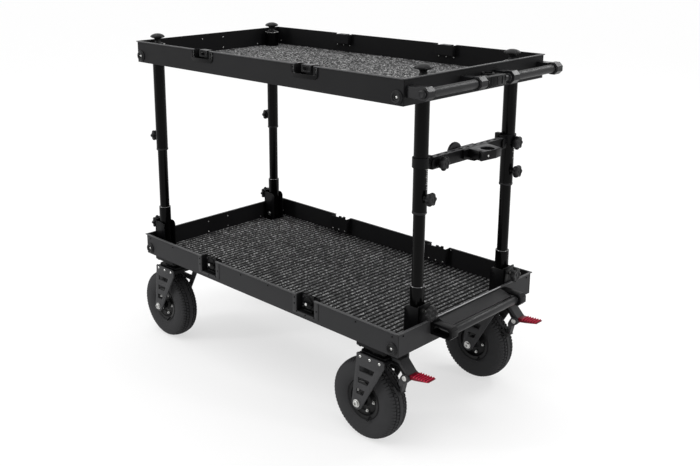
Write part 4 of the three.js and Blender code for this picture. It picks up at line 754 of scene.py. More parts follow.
# %% Star and mushroom knobs
KNOB_STEPS = 72
STAR = [  # shares of the knob's thickness, of its radius and of its notch
    (0, 0.46, 0), (0.1, 0.8, 0.6), (0.2, 0.93, 1), (0.45, 1, 1), (0.75, 0.97, 1), (0.92, 0.88, 1),
    (1, 0.74, 0.7), (1, 0.5, 0), (0.9, 0.44, 0), (0.9, 0.2, 0), (0.97, 0.16, 0), (0.97, 0.01, 0),
]
STAR_NOTCH = 0.19
MUSHROOM = [  # height, radius and notch
    (-38, 7.6, 0), (-17.5, 7.6, 0), (-17.5, 17.5, 0), (-15.5, 18.5, 0), (-14, 11, 0),
    (-8, 9.4, 0), (-3, 9.6, 0), (0, 12.5, 0.3), (1.6, 18.5, 1.5), (3.2, 22.2, 1.9),
    (5, 23, 1.8), (7, 22.4, 1.6), (9.4, 20, 1.1), (12, 15.5, 0.5), (14, 9.5, 0), (14.8, 4, 0),
    (14.9, 0.2, 0),
]
CAP_Z = UPPER_TOP + 6
FOLD_KNOB_Z = LOWER_TOP + 26


def knob(bm, axis, centre, facing, levels, lobes):
    turn = Matrix.Translation(centre) @ UP[axis]
    angles = [2 * math.pi * i / KNOB_STEPS for i in range(KNOB_STEPS)]
    rings = []
    for height, radius, notch in levels:
        lobed = [(radius - notch * (1 - math.cos(lobes * a)) / 2, a) for a in angles]
        ring = [Vector((r * math.cos(a), r * math.sin(a), facing * height)) for r, a in lobed]
        rings.append([turn @ point for point in ring])
    loft(bm, rings)


def star_knob(name, centre, facing, radius, thickness, start, stem_from, lobes=6):
    levels = [(start - 2, 0.42 * radius, 0)]
    for height, share, notch in STAR:
        levels.append((start + height * thickness, share * radius, notch * STAR_NOTCH * radius))
    star = built(knob, "x", centre, facing, levels, lobes)
    piece(name, star, "glass_filled_nylon", name, [name], sharp=50)
    stem = built(rod, "x", centre, 4.4, facing * stem_from, facing * (start - 1), 20)
    piece(f"{name}_stem", stem, "zinc_plated_steel", name)


for name, x, y, out in LEGS:
    star_knob(f"height_knob_{name}", (x, y, KNOB_Z), out, 18.5, 16, 26.5, 17)
    star_knob(f"fold_knob_{name}", (x, y, FOLD_KNOB_Z), out, 22, 14, 40, 20, lobes=8)
for name, x, y, out in LEGS:
    bm = built(knob, "z", (x, y, CAP_Z), 1, MUSHROOM, 8)
    label = f"shelf_knob_{name}"
    piece(label, bm, "glass_filled_nylon", label, [label], sharp=60)

# %% [markdown]
# ## Fold brackets
#
# At its foot each leg stands between the two cheeks of a U-shaped bracket, on a pin, and the fold
# knob on the outer web locks it upright. The cheeks are plates with a rounded corner.

# %% Cheeks, webs, floors and pins
FOOT = LOWER_BASE + WALL + 0.3
PIN_Z, PIN_R = FOOT + 24, 5.8
CHEEK_IN, CHEEK_OUT, CHEEK_TOP = 19.4, 23.4, 402
WEB, WEB_SHEET = 26.7, 4
CHEEK = (
    [(WEB, FOOT), (WEB, CHEEK_TOP), (WEB - WEB_SHEET, CHEEK_TOP), (WEB - 7, CHEEK_TOP - 6)]
    + arc(-8.6, CHEEK_TOP - 20, 14, 90, 180, 8)
    + [(-22.6, FOOT)]
)
for name, x, y, out in LEGS:
    bm, pins = bmesh.new(), bmesh.new()
    twin_plates(bm, "y", at(x, 0, CHEEK, out), y, CHEEK_IN, CHEEK_OUT, 0.8)
    web = rounded(y - CHEEK_OUT, y + CHEEK_OUT, FOOT, CHEEK_TOP, 3)
    knob_hole = arc(y, FOLD_KNOB_Z, 5.4, 0, 345, 20)
    plate(bm, "x", web, x + out * (WEB - WEB_SHEET), x + out * WEB, 0.8, [knob_hole])
    block(bm, (x - out * 22, x + out * WEB), (y - CHEEK_IN, y + CHEEK_IN), (FOOT, FOOT + 4))
    piece(f"leg_bracket_{name}", bm, "black_bracket_coat", "cart_base",
          [f"leg_bracket_{name}"], edge=0.4)
    for side in SIDES:
        nut(pins, "y", (x, y + side * CHEEK_OUT, PIN_Z), 8.6, 3.8, side)
        rod(pins, "y", (x, y, PIN_Z), PIN_R, 0, side * 23, 24)
    piece(f"leg_bracket_pins_{name}", pins, "zinc_plated_steel", "cart_base")

# %% [markdown]
# ## Casters
#
# A heavy-duty caster is a bearing head under a bolted plate, two fork plates with three slots,
# and an axle bolt. Everything on the fork is placed from the swivel's axis and the axle. The fork
# plates are curves with holes, with a round end over the axle.

# %% Fork plates, crown, head and axle
SWIVEL_X, SWIVEL_Y = HALF_LENGTH - 92.5, HALF_WIDTH - 52.5
TRAIL = 44
TYRE_R = AXLE_Z = solid_box("caster_tyre_front_left")[1][2] / 2
FORK_OUT, FORK_SHEET = 52.5, 5
FORK_IN = FORK_OUT - FORK_SHEET
FORK_TOP = 261
FORK_BOLTS = (-33, 0, 33)
CROWN_LOW, CROWN_STEP, CROWN_TOP = 246, 258, 265
AXLE_R, SPACER_R, SPACER_START = 5.8, 9.5, 39.5
CASTERS = [  # name, swivel's axis, and whether it has a brake
    ("front_left", -SWIVEL_X, -SWIVEL_Y, False),
    ("back_left", -SWIVEL_X, SWIVEL_Y, False),
    ("front_right", SWIVEL_X, -SWIVEL_Y, True),
    ("back_right", SWIVEL_X, SWIVEL_Y, True),
]
FORK = (
    [(-47, FORK_TOP - 3), (-47, 246)]
    + arc(-TRAIL, AXLE_Z, 18, 180, 326, 14)
    + [(46, 241), (46, FORK_TOP - 3), (43, FORK_TOP), (-44, FORK_TOP)]
)
HEAD = [(36, 262), (37, 264), (37, 270), (34.5, 272), (34.5, 274), (36.5, 275.5), (36.5, 280.5),
        (20, 281)]
AXLE_CAP = [(11, 0), (11, 1.6), (8.6, 1.8), (8.4, 5.4), (7.2, 6.6), (4, 7), (3.8, 3), (0, 2.8)]


def fork_slot(i):
    left, right, top = -36 - 4.5 * i, 16.5 - 16 * i, 225.5 - 34 * i
    corners = [(left, top), (right, top), (right - 8, top - 16), (left, top - 16)]
    return softened(corners, 2.5)


for name, x, y, _ in CASTERS:
    plates, head, bolts = bmesh.new(), bmesh.new(), bmesh.new()
    axle = (x - TRAIL, y, AXLE_Z)
    slots = [at(x, 0, fork_slot(i)) for i in range(3)]
    twin_plates(plates, "y", at(x, 0, FORK), y, FORK_IN, FORK_OUT, 0.7, slots)
    wide = rounded(x - 47, x + 44, y - FORK_IN, y + FORK_IN, 8)
    narrow = rounded(x - 44, x + 41, y - FORK_IN + 4, y + FORK_IN - 4, 12)
    prism(head, "z", wide, CROWN_LOW, CROWN_STEP)
    prism(head, "z", narrow, CROWN_STEP, CROWN_TOP)
    turned(head, "z", (x, y, 0), HEAD, TUBE_STEPS)
    for side in SIDES:
        rod(head, "y", axle, SPACER_R, side * SPACER_START, side * FORK_IN, 28)
        face = y + side * FORK_OUT
        for dx in FORK_BOLTS:
            screw(bolts, "y", (x + dx, face, FORK_TOP - 8), side, 4.2)
        turned(bolts, "y", (x - TRAIL, face, AXLE_Z), AXLE_CAP, 28, facing=side)
    rod(bolts, "y", axle, AXLE_R, -FORK_OUT, FORK_OUT, 24)
    body = f"caster_{name}"
    piece(f"caster_fork_{name}", plates, "fork_plate_coat", body,
          [f"caster_fork_{name}"])
    piece(f"caster_head_{name}", head, "black_bracket_coat", body, edge=0.8)
    piece(f"caster_bolts_{name}", bolts, "zinc_plated_steel", body)

# %% Base plates under the lower tray
mount_plates, mount_bolts = bmesh.new(), bmesh.new()
under = LOWER_BASE - 9
for _, x, y, _ in CASTERS:
    near, far = max(y - 58, -HALF_WIDTH), min(y + 58, HALF_WIDTH)
    prism(mount_plates, "z", rounded(x - 50, x + 50, near, far, 6), under, LOWER_BASE - 0.1)
    for dx in (-40, 40):
        for bolt_y in (near + 10, far - 10):
            nut(mount_bolts, "z", (x + dx, bolt_y, under), 6, 4.8, -1)
piece("caster_mount_plates", mount_plates, "black_bracket_coat", "cart_base",
      edge=0.8)
piece("caster_mount_bolts", mount_bolts, "black_bracket_coat", "cart_base")

# %% [markdown]
# ## Wheels
#
# The rim is two pressed halves bolted together, black, with bright nuts and a rubber valve. The
# tyre is a pneumatic one: a bulging sidewall, a middle rib, and rows of lugs on the crown and
# shoulders. It is one grid of points, profile by angle, and the notches between lugs lower the
# points of every fourth step. The middle rib keeps its radius, so the tyre still stands on the
# floor.

# %% Rims, nuts and valves
RIM_NUTS = 5
RIM_HALF = [(6.6, -39), (13, -39), (14, -38), (14, -24), (20, -18), (38, -15), (43, -19),
            (45, -25.5), (52, -27), (54.5, -25.8), (54, -23.5), (47, -21)]
RIM_PROFILE = RIM_HALF + [(46, 0)] + [(r, -h) for r, h in reversed(RIM_HALF)]
HUB = [(13.4, 0), (13.4, 1.4), (9, 1.6), (6.8, 1.6)]
NUT_CIRCLE = 32
VALVE_TILT = 0.5


def wheel_fittings(bm, x, y):
    for side in SIDES:
        for i in range(RIM_NUTS):
            angle = math.radians(360 / RIM_NUTS * i - 72)
            dx, dz = NUT_CIRCLE * math.cos(angle), NUT_CIRCLE * math.sin(angle)
            seat = (x + dx, y + side * 16, AXLE_Z + dz)
            nut(bm, "y", seat, 5, 5, side)
            rod(bm, "y", seat, 2.4, side * 4, side * 8, 12)
        turned(bm, "y", (x, y + side * 38.2, AXLE_Z), HUB, 28, facing=side)


def valve(bm, x, y):
    for radius, low, high in ((3.8, -10, -3), (2.6, -20, -10), (3, -25, -20)):
        rod(bm, "y", (0, 0, 0), radius, low, high, 16)
    tilt = Matrix.Rotation(VALVE_TILT, 4, "X")
    bm.transform(Matrix.Translation((x + 24, y - 17, AXLE_Z - 38)) @ tilt)


# %% Tyres
LUGS = 68
TYRE_STEPS = 4 * LUGS
TYRE_PROFILE = [  # radius, half width, depth of the notches between lugs, and their offset
    (49, 19, 0, 0), (53, 21.5, 0, 0), (55.5, 24.5, 0, 0), (57, 27.5, 0, 0), (60.5, 29.5, 0, 0),
    (66, 32, 0, 0), (74, 33.6, 0, 0), (82, 34, 0, 0), (90, 33.4, 0, 0), (94.5, 32.2, 0, 0),
    (96.5, 31.6, 0.7, 0), (100.5, 30.4, 1.4, 0), (104, 28.6, 2.1, 0), (107.5, 25.6, 2.8, 0),
    (109.6, 21.6, 3.2, 0), (109.8, 20.2, 2.8, 0), (106.2, 19.4, 0, 0), (106.2, 17.2, 0, 0),
    (110.8, 16.4, 3.2, 2), (112, 12, 3.2, 2), (112.3, 9.6, 3.2, 2), (108.6, 9, 0, 0),
    (108.6, 6.8, 0, 0), (112.6, 6.2, 0, 0), (113, 0, 0, 0),
]
TYRE_SCALE = TYRE_R / TYRE_PROFILE[-1][0]


def tyre(bm, x, y):
    mirrored = [(r, -h, notch, (shift + 1) % 4) for r, h, notch, shift in TYRE_PROFILE[-2::-1]]
    rings = []
    for radius, width, notch, shift in TYRE_PROFILE + mirrored:
        ring = []
        for i in range(TYRE_STEPS):
            angle = 2 * math.pi * i / TYRE_STEPS
            r = (radius - (notch if (i + shift) % 4 == 0 else 0)) * TYRE_SCALE
            ring.append((x + r * math.cos(angle), y + width, AXLE_Z + r * math.sin(angle)))
        rings.append(ring)
    loft(bm, rings, closed=True)


for name, swivel_x, y, _ in CASTERS:
    x, body = swivel_x - TRAIL, f"wheel_{name}"
    rim = built(turned, "y", (x, y, AXLE_Z), RIM_PROFILE, 64, closed=True)
    piece(f"valve_{name}", built(valve, x, y), "bumper_rubber", body)
    piece(f"caster_rim_{name}", rim, "wheel_rim_nylon", body,
          [f"caster_rim_{name}"])
    piece(f"wheel_fittings_{name}", built(wheel_fittings, x, y), "zinc_plated_steel", body)
    piece(f"caster_tyre_{name}", built(tyre, x, y), "tyre_rubber", body,
          [f"caster_tyre_{name}"], sharp=32)

# %% [markdown]
# ## Foot brakes
#
# The two casters at the handle end have a brake: a bracket reaches back from the fork's crown and
# carries a lever on a pin. Its red pedal is stepped on, and a rubber pad at the other end presses
# on the tyre. The pedal has raised saw-tooth ribs, so that a boot doesn't slip.

# %% Brake bracket on the fork
PIVOT_X, PIVOT_Z = 91, 224
BRAKE_COVER = [(40, 265.4), (71, 265.4), (101, 234), (98.6, 231.4), (70, 261.6), (40, 261.6)]
BRAKE_LIP = [(44, 264), (70, 264), (100, 233), (95, 228), (66, 257), (44, 257)]
BRAKE_STEM = [(44, 262), (70, 262), (94, 236), (98, 222), (84, 216), (70, 236), (60, 247),
              (44, 247)]
PIN_HEAD = [(7, 0), (7, 1.6), (6, 2.6), (3.6, 2.8), (3.4, 1.2), (0, 1)]
COVER_HALF, STEM_HALF = 17, 13
LIP_IN, LIP_OUT = 15, 18
BRAKE_PIN_R, BRAKE_PIN_HALF = 5, 21.6


def brake_bracket(bm, x, y):
    prism(bm, "y", at(x, 0, BRAKE_COVER), y - COVER_HALF, y + COVER_HALF)
    twin_plates(bm, "y", at(x, 0, BRAKE_LIP), y, LIP_IN, LIP_OUT, 0.9)


def brake_arm(bm, x, y):
    prism(bm, "y", at(x, 0, BRAKE_STEM), y - STEM_HALF, y + STEM_HALF)


def brake_pin(bm, x, y):
    rod(bm, "y", (x + PIVOT_X, y, PIVOT_Z), BRAKE_PIN_R, -BRAKE_PIN_HALF, BRAKE_PIN_HALF, 24)
    for side in SIDES:
        end = (x + PIVOT_X, y + side * (BRAKE_PIN_HALF + 0.1), PIVOT_Z)
        turned(bm, "y", end, PIN_HEAD, 24, facing=side)


# %% Pedal lever with its pad
BRAKE_TURN = math.radians(10)  # the lever's angle at rest, away from the tyre
LEVER_CHEEK = [(-8, 9), (6, 10), (13, 4), (14, -5), (-4, -18), (-12, -26), (-18, -24),
               (-20, -14), (-15, -2)]
PEDAL_STATIONS = [  # distance from the pin, bottom, top and half width
    (8, -2, 9.6, 12), (15, -1, 10.6, 15), (34, 2.5, 11.2, 15), (50, 6, 12, 15),
    (62, 8.8, 13.2, 15), (71, 11, 14.4, 14.4),
]
PEDAL_RIB = [(0, 0), (5, 0), (4.6, 5.6), (3.2, 5.6)]
LEVER_IN, LEVER_OUT, LEVER_WEB_HALF = 18.4, 21.3, 9


def on_tyre(x, radius, degrees):
    """Where a point over the tyre is once the lever is turned back by its ten degrees."""
    u = radius * math.cos(math.radians(degrees)) - TRAIL - PIVOT_X
    w = radius * math.sin(math.radians(degrees)) + AXLE_Z - PIVOT_Z
    c, s = math.cos(BRAKE_TURN), math.sin(BRAKE_TURN)
    return x + PIVOT_X + u * c - w * s, PIVOT_Z + u * s + w * c


def brake_lever(bm, x, y):
    px, pz = x + PIVOT_X, PIVOT_Z
    twin_plates(bm, "y", softened(at(px, pz, LEVER_CHEEK), 3), y, LEVER_IN, LEVER_OUT, 0.8)
    across = (y - 21, y + 21)
    block(bm, (px + 3, px + 11), across, (pz - 2, pz + 6))
    block(bm, (px - 19, px - 12), across, (pz - 26, pz - 18))
    web = [(px - 12, pz - 20), (px - 20, pz - 16), on_tyre(x, 122, 37), on_tyre(x, 122, 30)]
    prism(bm, "y", web, y - LEVER_WEB_HALF, y + LEVER_WEB_HALF)


def brake_pad(bm, x, y):
    angles = range(29, 43, 2)
    band = [on_tyre(x, 115, a) for a in angles] + [on_tyre(x, 124, a) for a in reversed(angles)]
    prism(bm, "y", band, y - 19, y + 8)
    head = [on_tyre(x, r, a) for r, a in ((123, 35.5), (130, 35.5), (130, 41), (123, 41))]
    prism(bm, "y", head, y - 15, y - 2)


def red_pedal(bm, x, y):
    rings = []
    for dx, low, high, half in PEDAL_STATIONS:
        section = rounded(-half, half, low, high, 0.7)
        rings.append([(x + PIVOT_X + dx, y + v, PIVOT_Z + w) for v, w in section])
    loft(bm, rings)


# The ribs take a lighter red than the pedal: a painted highlight.
def pedal_ribs(bm, x, y):
    for i in range(6):
        foot, low = x + PIVOT_X + 22 + 8 * i, PIVOT_Z + 8 + 0.48 * i
        prism(bm, "y", at(foot, low, PEDAL_RIB), y - 15.4, y + 15.4)


for name, x, y, has_brake in CASTERS:
    if has_brake:
        fork, lever = f"caster_{name}", f"brake_{name}"
        for part, shape, surface, body, slot, nodes, edge in (
            ("arm", brake_arm, "black_bracket_coat", fork, "bracket_black", (), 0.5),
            ("bracket", brake_bracket, "latch_plate_coat", fork, "bracket_black", (), 0.6),
            ("pin", brake_pin, "zinc_plated_steel", fork, "bracket_black", (), 0),
            ("lever", brake_lever, "fork_plate_coat", lever, "bracket_black", (), 0.6),
            ("pad", brake_pad, "bumper_rubber", lever, "tyre_black", (), 0),
            ("pedal", red_pedal, "red_nylon_pedal", lever, "pedal_red", [f"brake_pedal_{name}"],
             0.5),
            ("ribs", pedal_ribs, "painted_highlight_red_ribs", lever, "pedal_red", (), 0.3),
        ):
            piece(f"brake_{part}_{name}", built(shape, x, y), surface, body, nodes, edge)

# %% [markdown]
# ## Cross bar with its ring holder
#
# Between the legs of the handle end a bar is held by two ring clamps, and a holder with a round
# hole slides along it: a place for a monitor arm. The bar has a row of holes in its top. The
# holder is a machined plate with softened corners. The faces on top of both are thin plates in a
# lighter grey: painted light where the tops catch the light.

# %% Bar with its top face painted light
BAR_TOP = OUTER_LOW + 139
BAR_MID = BAR_TOP - 15.5
BAR_END = RIGHT_LEG_Y - 34
SLOTS = [-122 + 31 * i for i in range(9)]
EYELET = [(3.4, -0.6), (3.4, 0.25), (2.2, 0.1), (2, -0.5), (0, -0.5)]

bar, bar_face = bmesh.new(), bmesh.new()
outline = at(LEG_X, 0, [(-10, -BAR_END), (10, -BAR_END), (10, BAR_END), (-10, BAR_END)])
slots = [rounded(LEG_X - 3, LEG_X + 3, y - 7.5, y + 7.5, 2.9) for y in SLOTS]
plate(bar, "z", outline, BAR_TOP - 31, BAR_TOP - 0.5, 0.6, slots)
for y in SLOTS:
    turned(bar, "x", (LEG_X + 10, y, BAR_MID - 1), EYELET, 16)
outline = rounded(LEG_X - 9.2, LEG_X + 9.2, -BAR_END + 1, BAR_END - 1, 1)
slots = [rounded(LEG_X - 3.4, LEG_X + 3.4, y - 8, y + 8, 3.2) for y in SLOTS]
plate(bar_face, "z", outline, BAR_TOP - 0.5, BAR_TOP, 0.2, slots)
piece("crossbar_top_face", bar_face, "top_face_painted_light_coat", "crossbar_unit")
piece("crossbar", bar, "black_bracket_coat", "crossbar_unit", ["crossbar"])

# %% Ring clamps with their knobs
CLAMP_LOW, CLAMP_HIGH = BAR_MID - 4.2, BAR_MID + 22.2
CLAMP_RING = [(18.9, CLAMP_LOW), (21.4, CLAMP_LOW), (22, CLAMP_LOW + 0.8),
              (22, CLAMP_HIGH - 0.8), (21.4, CLAMP_HIGH), (18.9, CLAMP_HIGH)]
FRONT_BOSS = [(5.4, 14), (8.6, 14), (8, 19), (5.4, 19)]
BACK_BOSS = [(5.4, 20), (8.6, 20), (8.6, 23), (5.4, 23)]
LUG_LEVELS = (BAR_MID - 12.5, BAR_MID + 12.5)
LUG_IN, LUG_OUT = 10.3, 14.3


def ring_clamp(bm, towards):  # 1 or -1: the way from the leg to the bar
    y = -towards * RIGHT_LEG_Y
    turned(bm, "z", (LEG_X, y, 0), CLAMP_RING, TUBE_STEPS, closed=True)
    neck = (y + towards * 19.5, -towards * (BAR_END + 0.3))
    block(bm, (LEG_X - 11, LEG_X + 11), neck, (CLAMP_LOW, CLAMP_HIGH))


front, back = built(ring_clamp, 1), built(ring_clamp, -1)
lug = rounded(-BAR_END - 6, -BAR_END + 48, *LUG_LEVELS, 9)
plate(front, "x", lug, LEG_X + LUG_IN, LEG_X + LUG_OUT, 0.8)
plate(front, "x", lug, LEG_X - LUG_OUT, LEG_X - 11.1, 0.8)
turned(front, "x", (LEG_X, 25 - BAR_END, BAR_MID), FRONT_BOSS, 28, closed=True)
ear = rounded(BAR_END - 12, BAR_END + 6, *LUG_LEVELS, 5)
plate(back, "x", ear, LEG_X + LUG_IN, LEG_X + LUG_OUT, 0.8)
block(back, (LEG_X - 21, LEG_X - 6), (BAR_END + 0.3, BAR_END + 14.3), (BAR_MID - 7, BAR_TOP + 11))
turned(back, "x", (LEG_X, RIGHT_LEG_Y, BAR_MID), BACK_BOSS, 28, closed=True)
for name, bm in (("crossbar_clamp_front", front), ("crossbar_clamp_back", back)):
    piece(name, bm, "black_bracket_coat", "crossbar_unit", [name], edge=0.5)
star_knob("clamp_knob_front", (LEG_X, 25 - BAR_END, BAR_MID), 1, 19.5, 14.8, 20, 1, lobes=7)
star_knob("clamp_knob_back", (LEG_X, RIGHT_LEG_Y, BAR_MID), 1, 19.8, 14.8, 23.5, 19, lobes=7)

# %% Ring holder and its disc knob
HOLE_X, HOLE_Y, HOLE_R = LEG_X + 47, 25, 19
HOLDER_LOW, HOLDER_FACE = BAR_TOP - 24, BAR_TOP - 0.6
JAW_IN, JAW_OUT = LEG_X - 16.3, LEG_X + 10.3  # the holder's jaws start here
JAW_SHEET, JAW_LONG, JAW_SHORT = 6, (-34, 48), (12, 48)
JAW_BASE = BAR_TOP - 37
HOLDER = [(10.3, -12), (53, -20), (53, -11), (55, -11), (55, -21), (63, -24), (70, 32),
          (66.4, 60), (34, 69), (10.3, 74.8)]
HOLDER_CAP = [(11.3, -10), (51, -17), (51, -9), (57, -9), (57, -19), (61.6, -21), (68, 31),
              (65, 58), (33, 66), (11.3, 72)]
DISC_KNOB = [(0, 10.4), (5.2, 10.4), (5.2, 20.6), (25.4, 20.6), (27.4, 21.6), (28, 23.6), (28, 27),
             (27.2, 28.8), (24.6, 29.4), (8, 29.2), (6.6, 28.4), (0, 28.4)]

disc_knob = built(turned, "x", (LEG_X, -20, BAR_MID), DISC_KNOB, 56, facing=-1)
piece("holder_knob", disc_knob, "latch_plate_coat", "holder_knob",
      ["holder_knob"])
holder, holder_top, holder_screws = bmesh.new(), bmesh.new(), bmesh.new()
hole = arc(HOLE_X, HOLE_Y, HOLE_R, 44, 392, 44)
plate(holder, "z", softened(at(LEG_X, 0, HOLDER), 0.9), HOLDER_LOW, HOLDER_FACE, 0.9, [hole])
# The holder's top face is a thin plate in a lighter grey: painted light.
cap = softened(at(LEG_X, 0, HOLDER_CAP), 0.9)
plate(holder_top, "z", cap, HOLDER_FACE, BAR_TOP, 0.2, [hole])
for jaw in (JAW_IN, JAW_OUT):
    block(holder, (jaw, jaw + JAW_SHEET), JAW_LONG, (HOLDER_LOW, HOLDER_FACE))
    block(holder, (jaw, jaw + JAW_SHEET), JAW_SHORT, (JAW_BASE, HOLDER_LOW + 1))
block(holder, (JAW_IN, JAW_OUT + JAW_SHEET), JAW_SHORT, (JAW_BASE - 0.3, JAW_BASE + 5.7))
screw(holder_screws, "x", (LEG_X + 66.5, 2, BAR_TOP - 13), 1, 3.2)
piece("holder_top_face", holder_top, "top_face_painted_light_coat", "ring_holder")
piece("accessory_holder", holder, "black_bracket_coat", "ring_holder",
      ["accessory_holder"], edge=0.5)
piece("holder_screws", holder_screws, "zinc_plated_steel", "ring_holder")

# %% [markdown]
# ## Push handle
#
# Four eight-sided collars stand out from the upper tray's end and carry a steel bar. Two foam
# grips cover it, and between the inner collars sits a block with a ring for a stand's stem and
# three thin ribs on its face.

# %% Collars and bar
BAR_X, BAR_Z = HALF_LENGTH + 49.5, UPPER_TOP - 32
COLLARS = (-278, -70.5, 70.5, 278)
COLLAR_HALF = 13.5
TRAY_END = HALF_LENGTH + 0.4
PLAIN_FACES = {-291.5: -1, 57: -1, 291.5: 1}  # faces with a round boss, and where they look
COLLAR = at(BAR_X, BAR_Z, [(-14, 14)] + [
    (17.6 * math.cos(math.radians(a)), 17.6 * math.sin(math.radians(a)))
    for a in (112.5, 67.5, 22.5, -22.5, -67.5, -112.5)
] + [(-14, -14)])
COLLAR_LIP = [(15, -1), (15, 0.8), (13.8, 1.6), (11.6, 1.6), (11.6, -1)]
COLLAR_BOSS = [(10.5, -2), (10.5, 3.6), (9.4, 5.4), (6.4, 6), (5.6, 5), (0, 4.8)]

collars = bmesh.new()
for y in COLLARS:
    outline = [(TRAY_END, BAR_Z + 14)] + COLLAR + [(TRAY_END, BAR_Z - 14)]
    prism(collars, "y", outline, y - COLLAR_HALF, y + COLLAR_HALF)
    for side in SIDES:
        face = (BAR_X, y + side * COLLAR_HALF, BAR_Z)
        if face[1] not in PLAIN_FACES:
            turned(collars, "y", face, COLLAR_LIP, 36, closed=True, facing=side)
rod(collars, "y", (BAR_X, 0, BAR_Z), 8, -290, 290, 32)
for y, side in PLAIN_FACES.items():
    turned(collars, "y", (BAR_X, y, BAR_Z), COLLAR_BOSS, 36, facing=side)
piece("handle_bar", collars, "collar_coat", "upper_shelf", ["handle_bar"],
      edge=0.9)

# %% Grips
GRIP_START, GRIP_END = 84.6, 263.9
GRIP = [(8.4, GRIP_START), (10.6, GRIP_START), (11.4, GRIP_START + 1.6), (11.5, GRIP_START + 8),
        (11.5, GRIP_END - 8), (11.4, GRIP_END - 1.6), (10.6, GRIP_END), (8.4, GRIP_END)]
for name, side in (("handle_grip_front", -1), ("handle_grip_back", 1)):
    grip = built(turned, "y", (BAR_X, 0, BAR_Z), GRIP, closed=True, facing=side)
    piece(name, grip, "foam_rubber_grip", "upper_shelf", [name])

# %% Ring block
RING_R = 17.5
RING_X = BAR_X - 8.3 - RING_R
RING_LIP = [(13, 12), (17.5, 12), (17.5, 15), (16.6, 15.9), (13.6, 15.9), (13, 15.2)]
block_front = [(10, -56.6), (12, -54), (12, 27.4), (10, 30), (-20, 30), (-20, 17.4)]
outline = (
    at(BAR_X, 0, block_front)
    + arc(RING_X, 0, RING_R, 85, 275, 18)
    + at(BAR_X, 0, [(-20, -17.4), (-20, -56.6)])
)
ring_block, block_screw = bmesh.new(), bmesh.new()
ring_hole = arc(RING_X, 0, 13, 0, 350, 36)
plate(ring_block, "z", outline, BAR_Z - 13, BAR_Z + 13, 1.0, [ring_hole])
for y in (-36, -12, 10):
    block(ring_block, (BAR_X + 11.4, BAR_X + 12.8), (y, y + 3), (BAR_Z - 10, BAR_Z + 10))
turned(ring_block, "z", (RING_X, 0, BAR_Z), RING_LIP, 44, closed=True)
piece("handle_ring_block", ring_block, "polished_black_coat", "upper_shelf",
      ["handle_ring_block"], edge=0.6)
screw(block_screw, "x", (BAR_X + 12, -48, BAR_Z), 1)
piece("handle_block_screw", block_screw, "bumper_rubber", "upper_shelf")

# %% [markdown]
# ## End shelf
#
# At the same end the lower tray has a narrow shelf: a sloping plate down to a round bar, between
# two arms with a long slot. Where the plate is folded over the tray's rim, a thin rod in light
# grey is a painted highlight along the fold.

# %% Arms, fold, sloping plate and bar
SHELF_X, SHELF_Z = HALF_LENGTH + 50.5, LOWER_TOP - 25
ARM_IN, ARM_OUT = 142.5, 170.5
ARM = (
    [(TRAY_END, SHELF_Z - 16.5)]
    + at(SHELF_X, SHELF_Z, [(10, -16.5), (18, -8.5), (18, 8.5), (10, 16.5)])
    + [(TRAY_END, SHELF_Z + 16.5)]
)
SLOT = at(HALF_LENGTH, SHELF_Z, arc(15, 0, 9.5, 90, 270, 8) + arc(51, 0, 9.5, -90, 90, 8))
SLOPE = [(TRAY_END, LOWER_TOP - 7.3), (SHELF_X - 11, SHELF_Z + 5.5), (SHELF_X - 11, SHELF_Z + 8.5),
         (TRAY_END, LOWER_TOP - 4.3)]
SHELF_ROD = [(9, -141.9), (10.6, -141.9), (11, -140.5), (11, 140.5), (10.6, 141.9), (9, 141.9)]

shelf_arms = built(twin_plates, "y", ARM, 0, ARM_IN, ARM_OUT, 1.0, [SLOT])
shelf = built(prism, "y", SLOPE, -ARM_IN + 0.1, ARM_IN - 0.1)
fold_line = (HALF_LENGTH + 2.4, 0, LOWER_TOP - 0.4)
shelf_fold = built(rod, "y", fold_line, 1.6, -142.2, 142.2, 20)
shelf_bar = built(turned, "y", (SHELF_X, 0, SHELF_Z), SHELF_ROD)
piece("end_shelf_arms", shelf_arms, "black_bracket_coat", "cart_base", edge=0.8)
# The fold's light grey is a painted highlight.
piece("end_shelf_fold", shelf_fold, "fold_painted_highlight_coat", "cart_base")
piece("end_shelf", shelf, "shelf_coat", "cart_base", ["end_shelf"], edge=0.8)
piece("end_shelf_bar", shelf_bar, "shelf_coat", "cart_base", ["end_shelf_bar"])

# %% [markdown]
# ## Carpets
#
# Both trays are lined. The upper carpet is a low loop pile in mixed greys: its loops are about
# four millimetres wide, so a Voronoi pattern of that size gives each loop its own grey, and the
# mesh itself rises and falls by a millimetre. The lower one is a ribbed pile with ribs across the
# cart, about 17 mm apart: its mesh has those ribs. Both carpets are painted darker towards the
# edge of each loop, and the lower one almost black in its grooves: painted shade.

# %% Carpet material
LOOP_MM, RIB_MM = 4.4, 16.9


def product(tree, colour, factor):
    whole = {"data_type": "RGBA", "blend_type": "MULTIPLY", 0: 1.0}
    return add_node(tree, "Mix", whole, {COLOUR_A: colour, COLOUR_B: factor}).outputs["Result"]


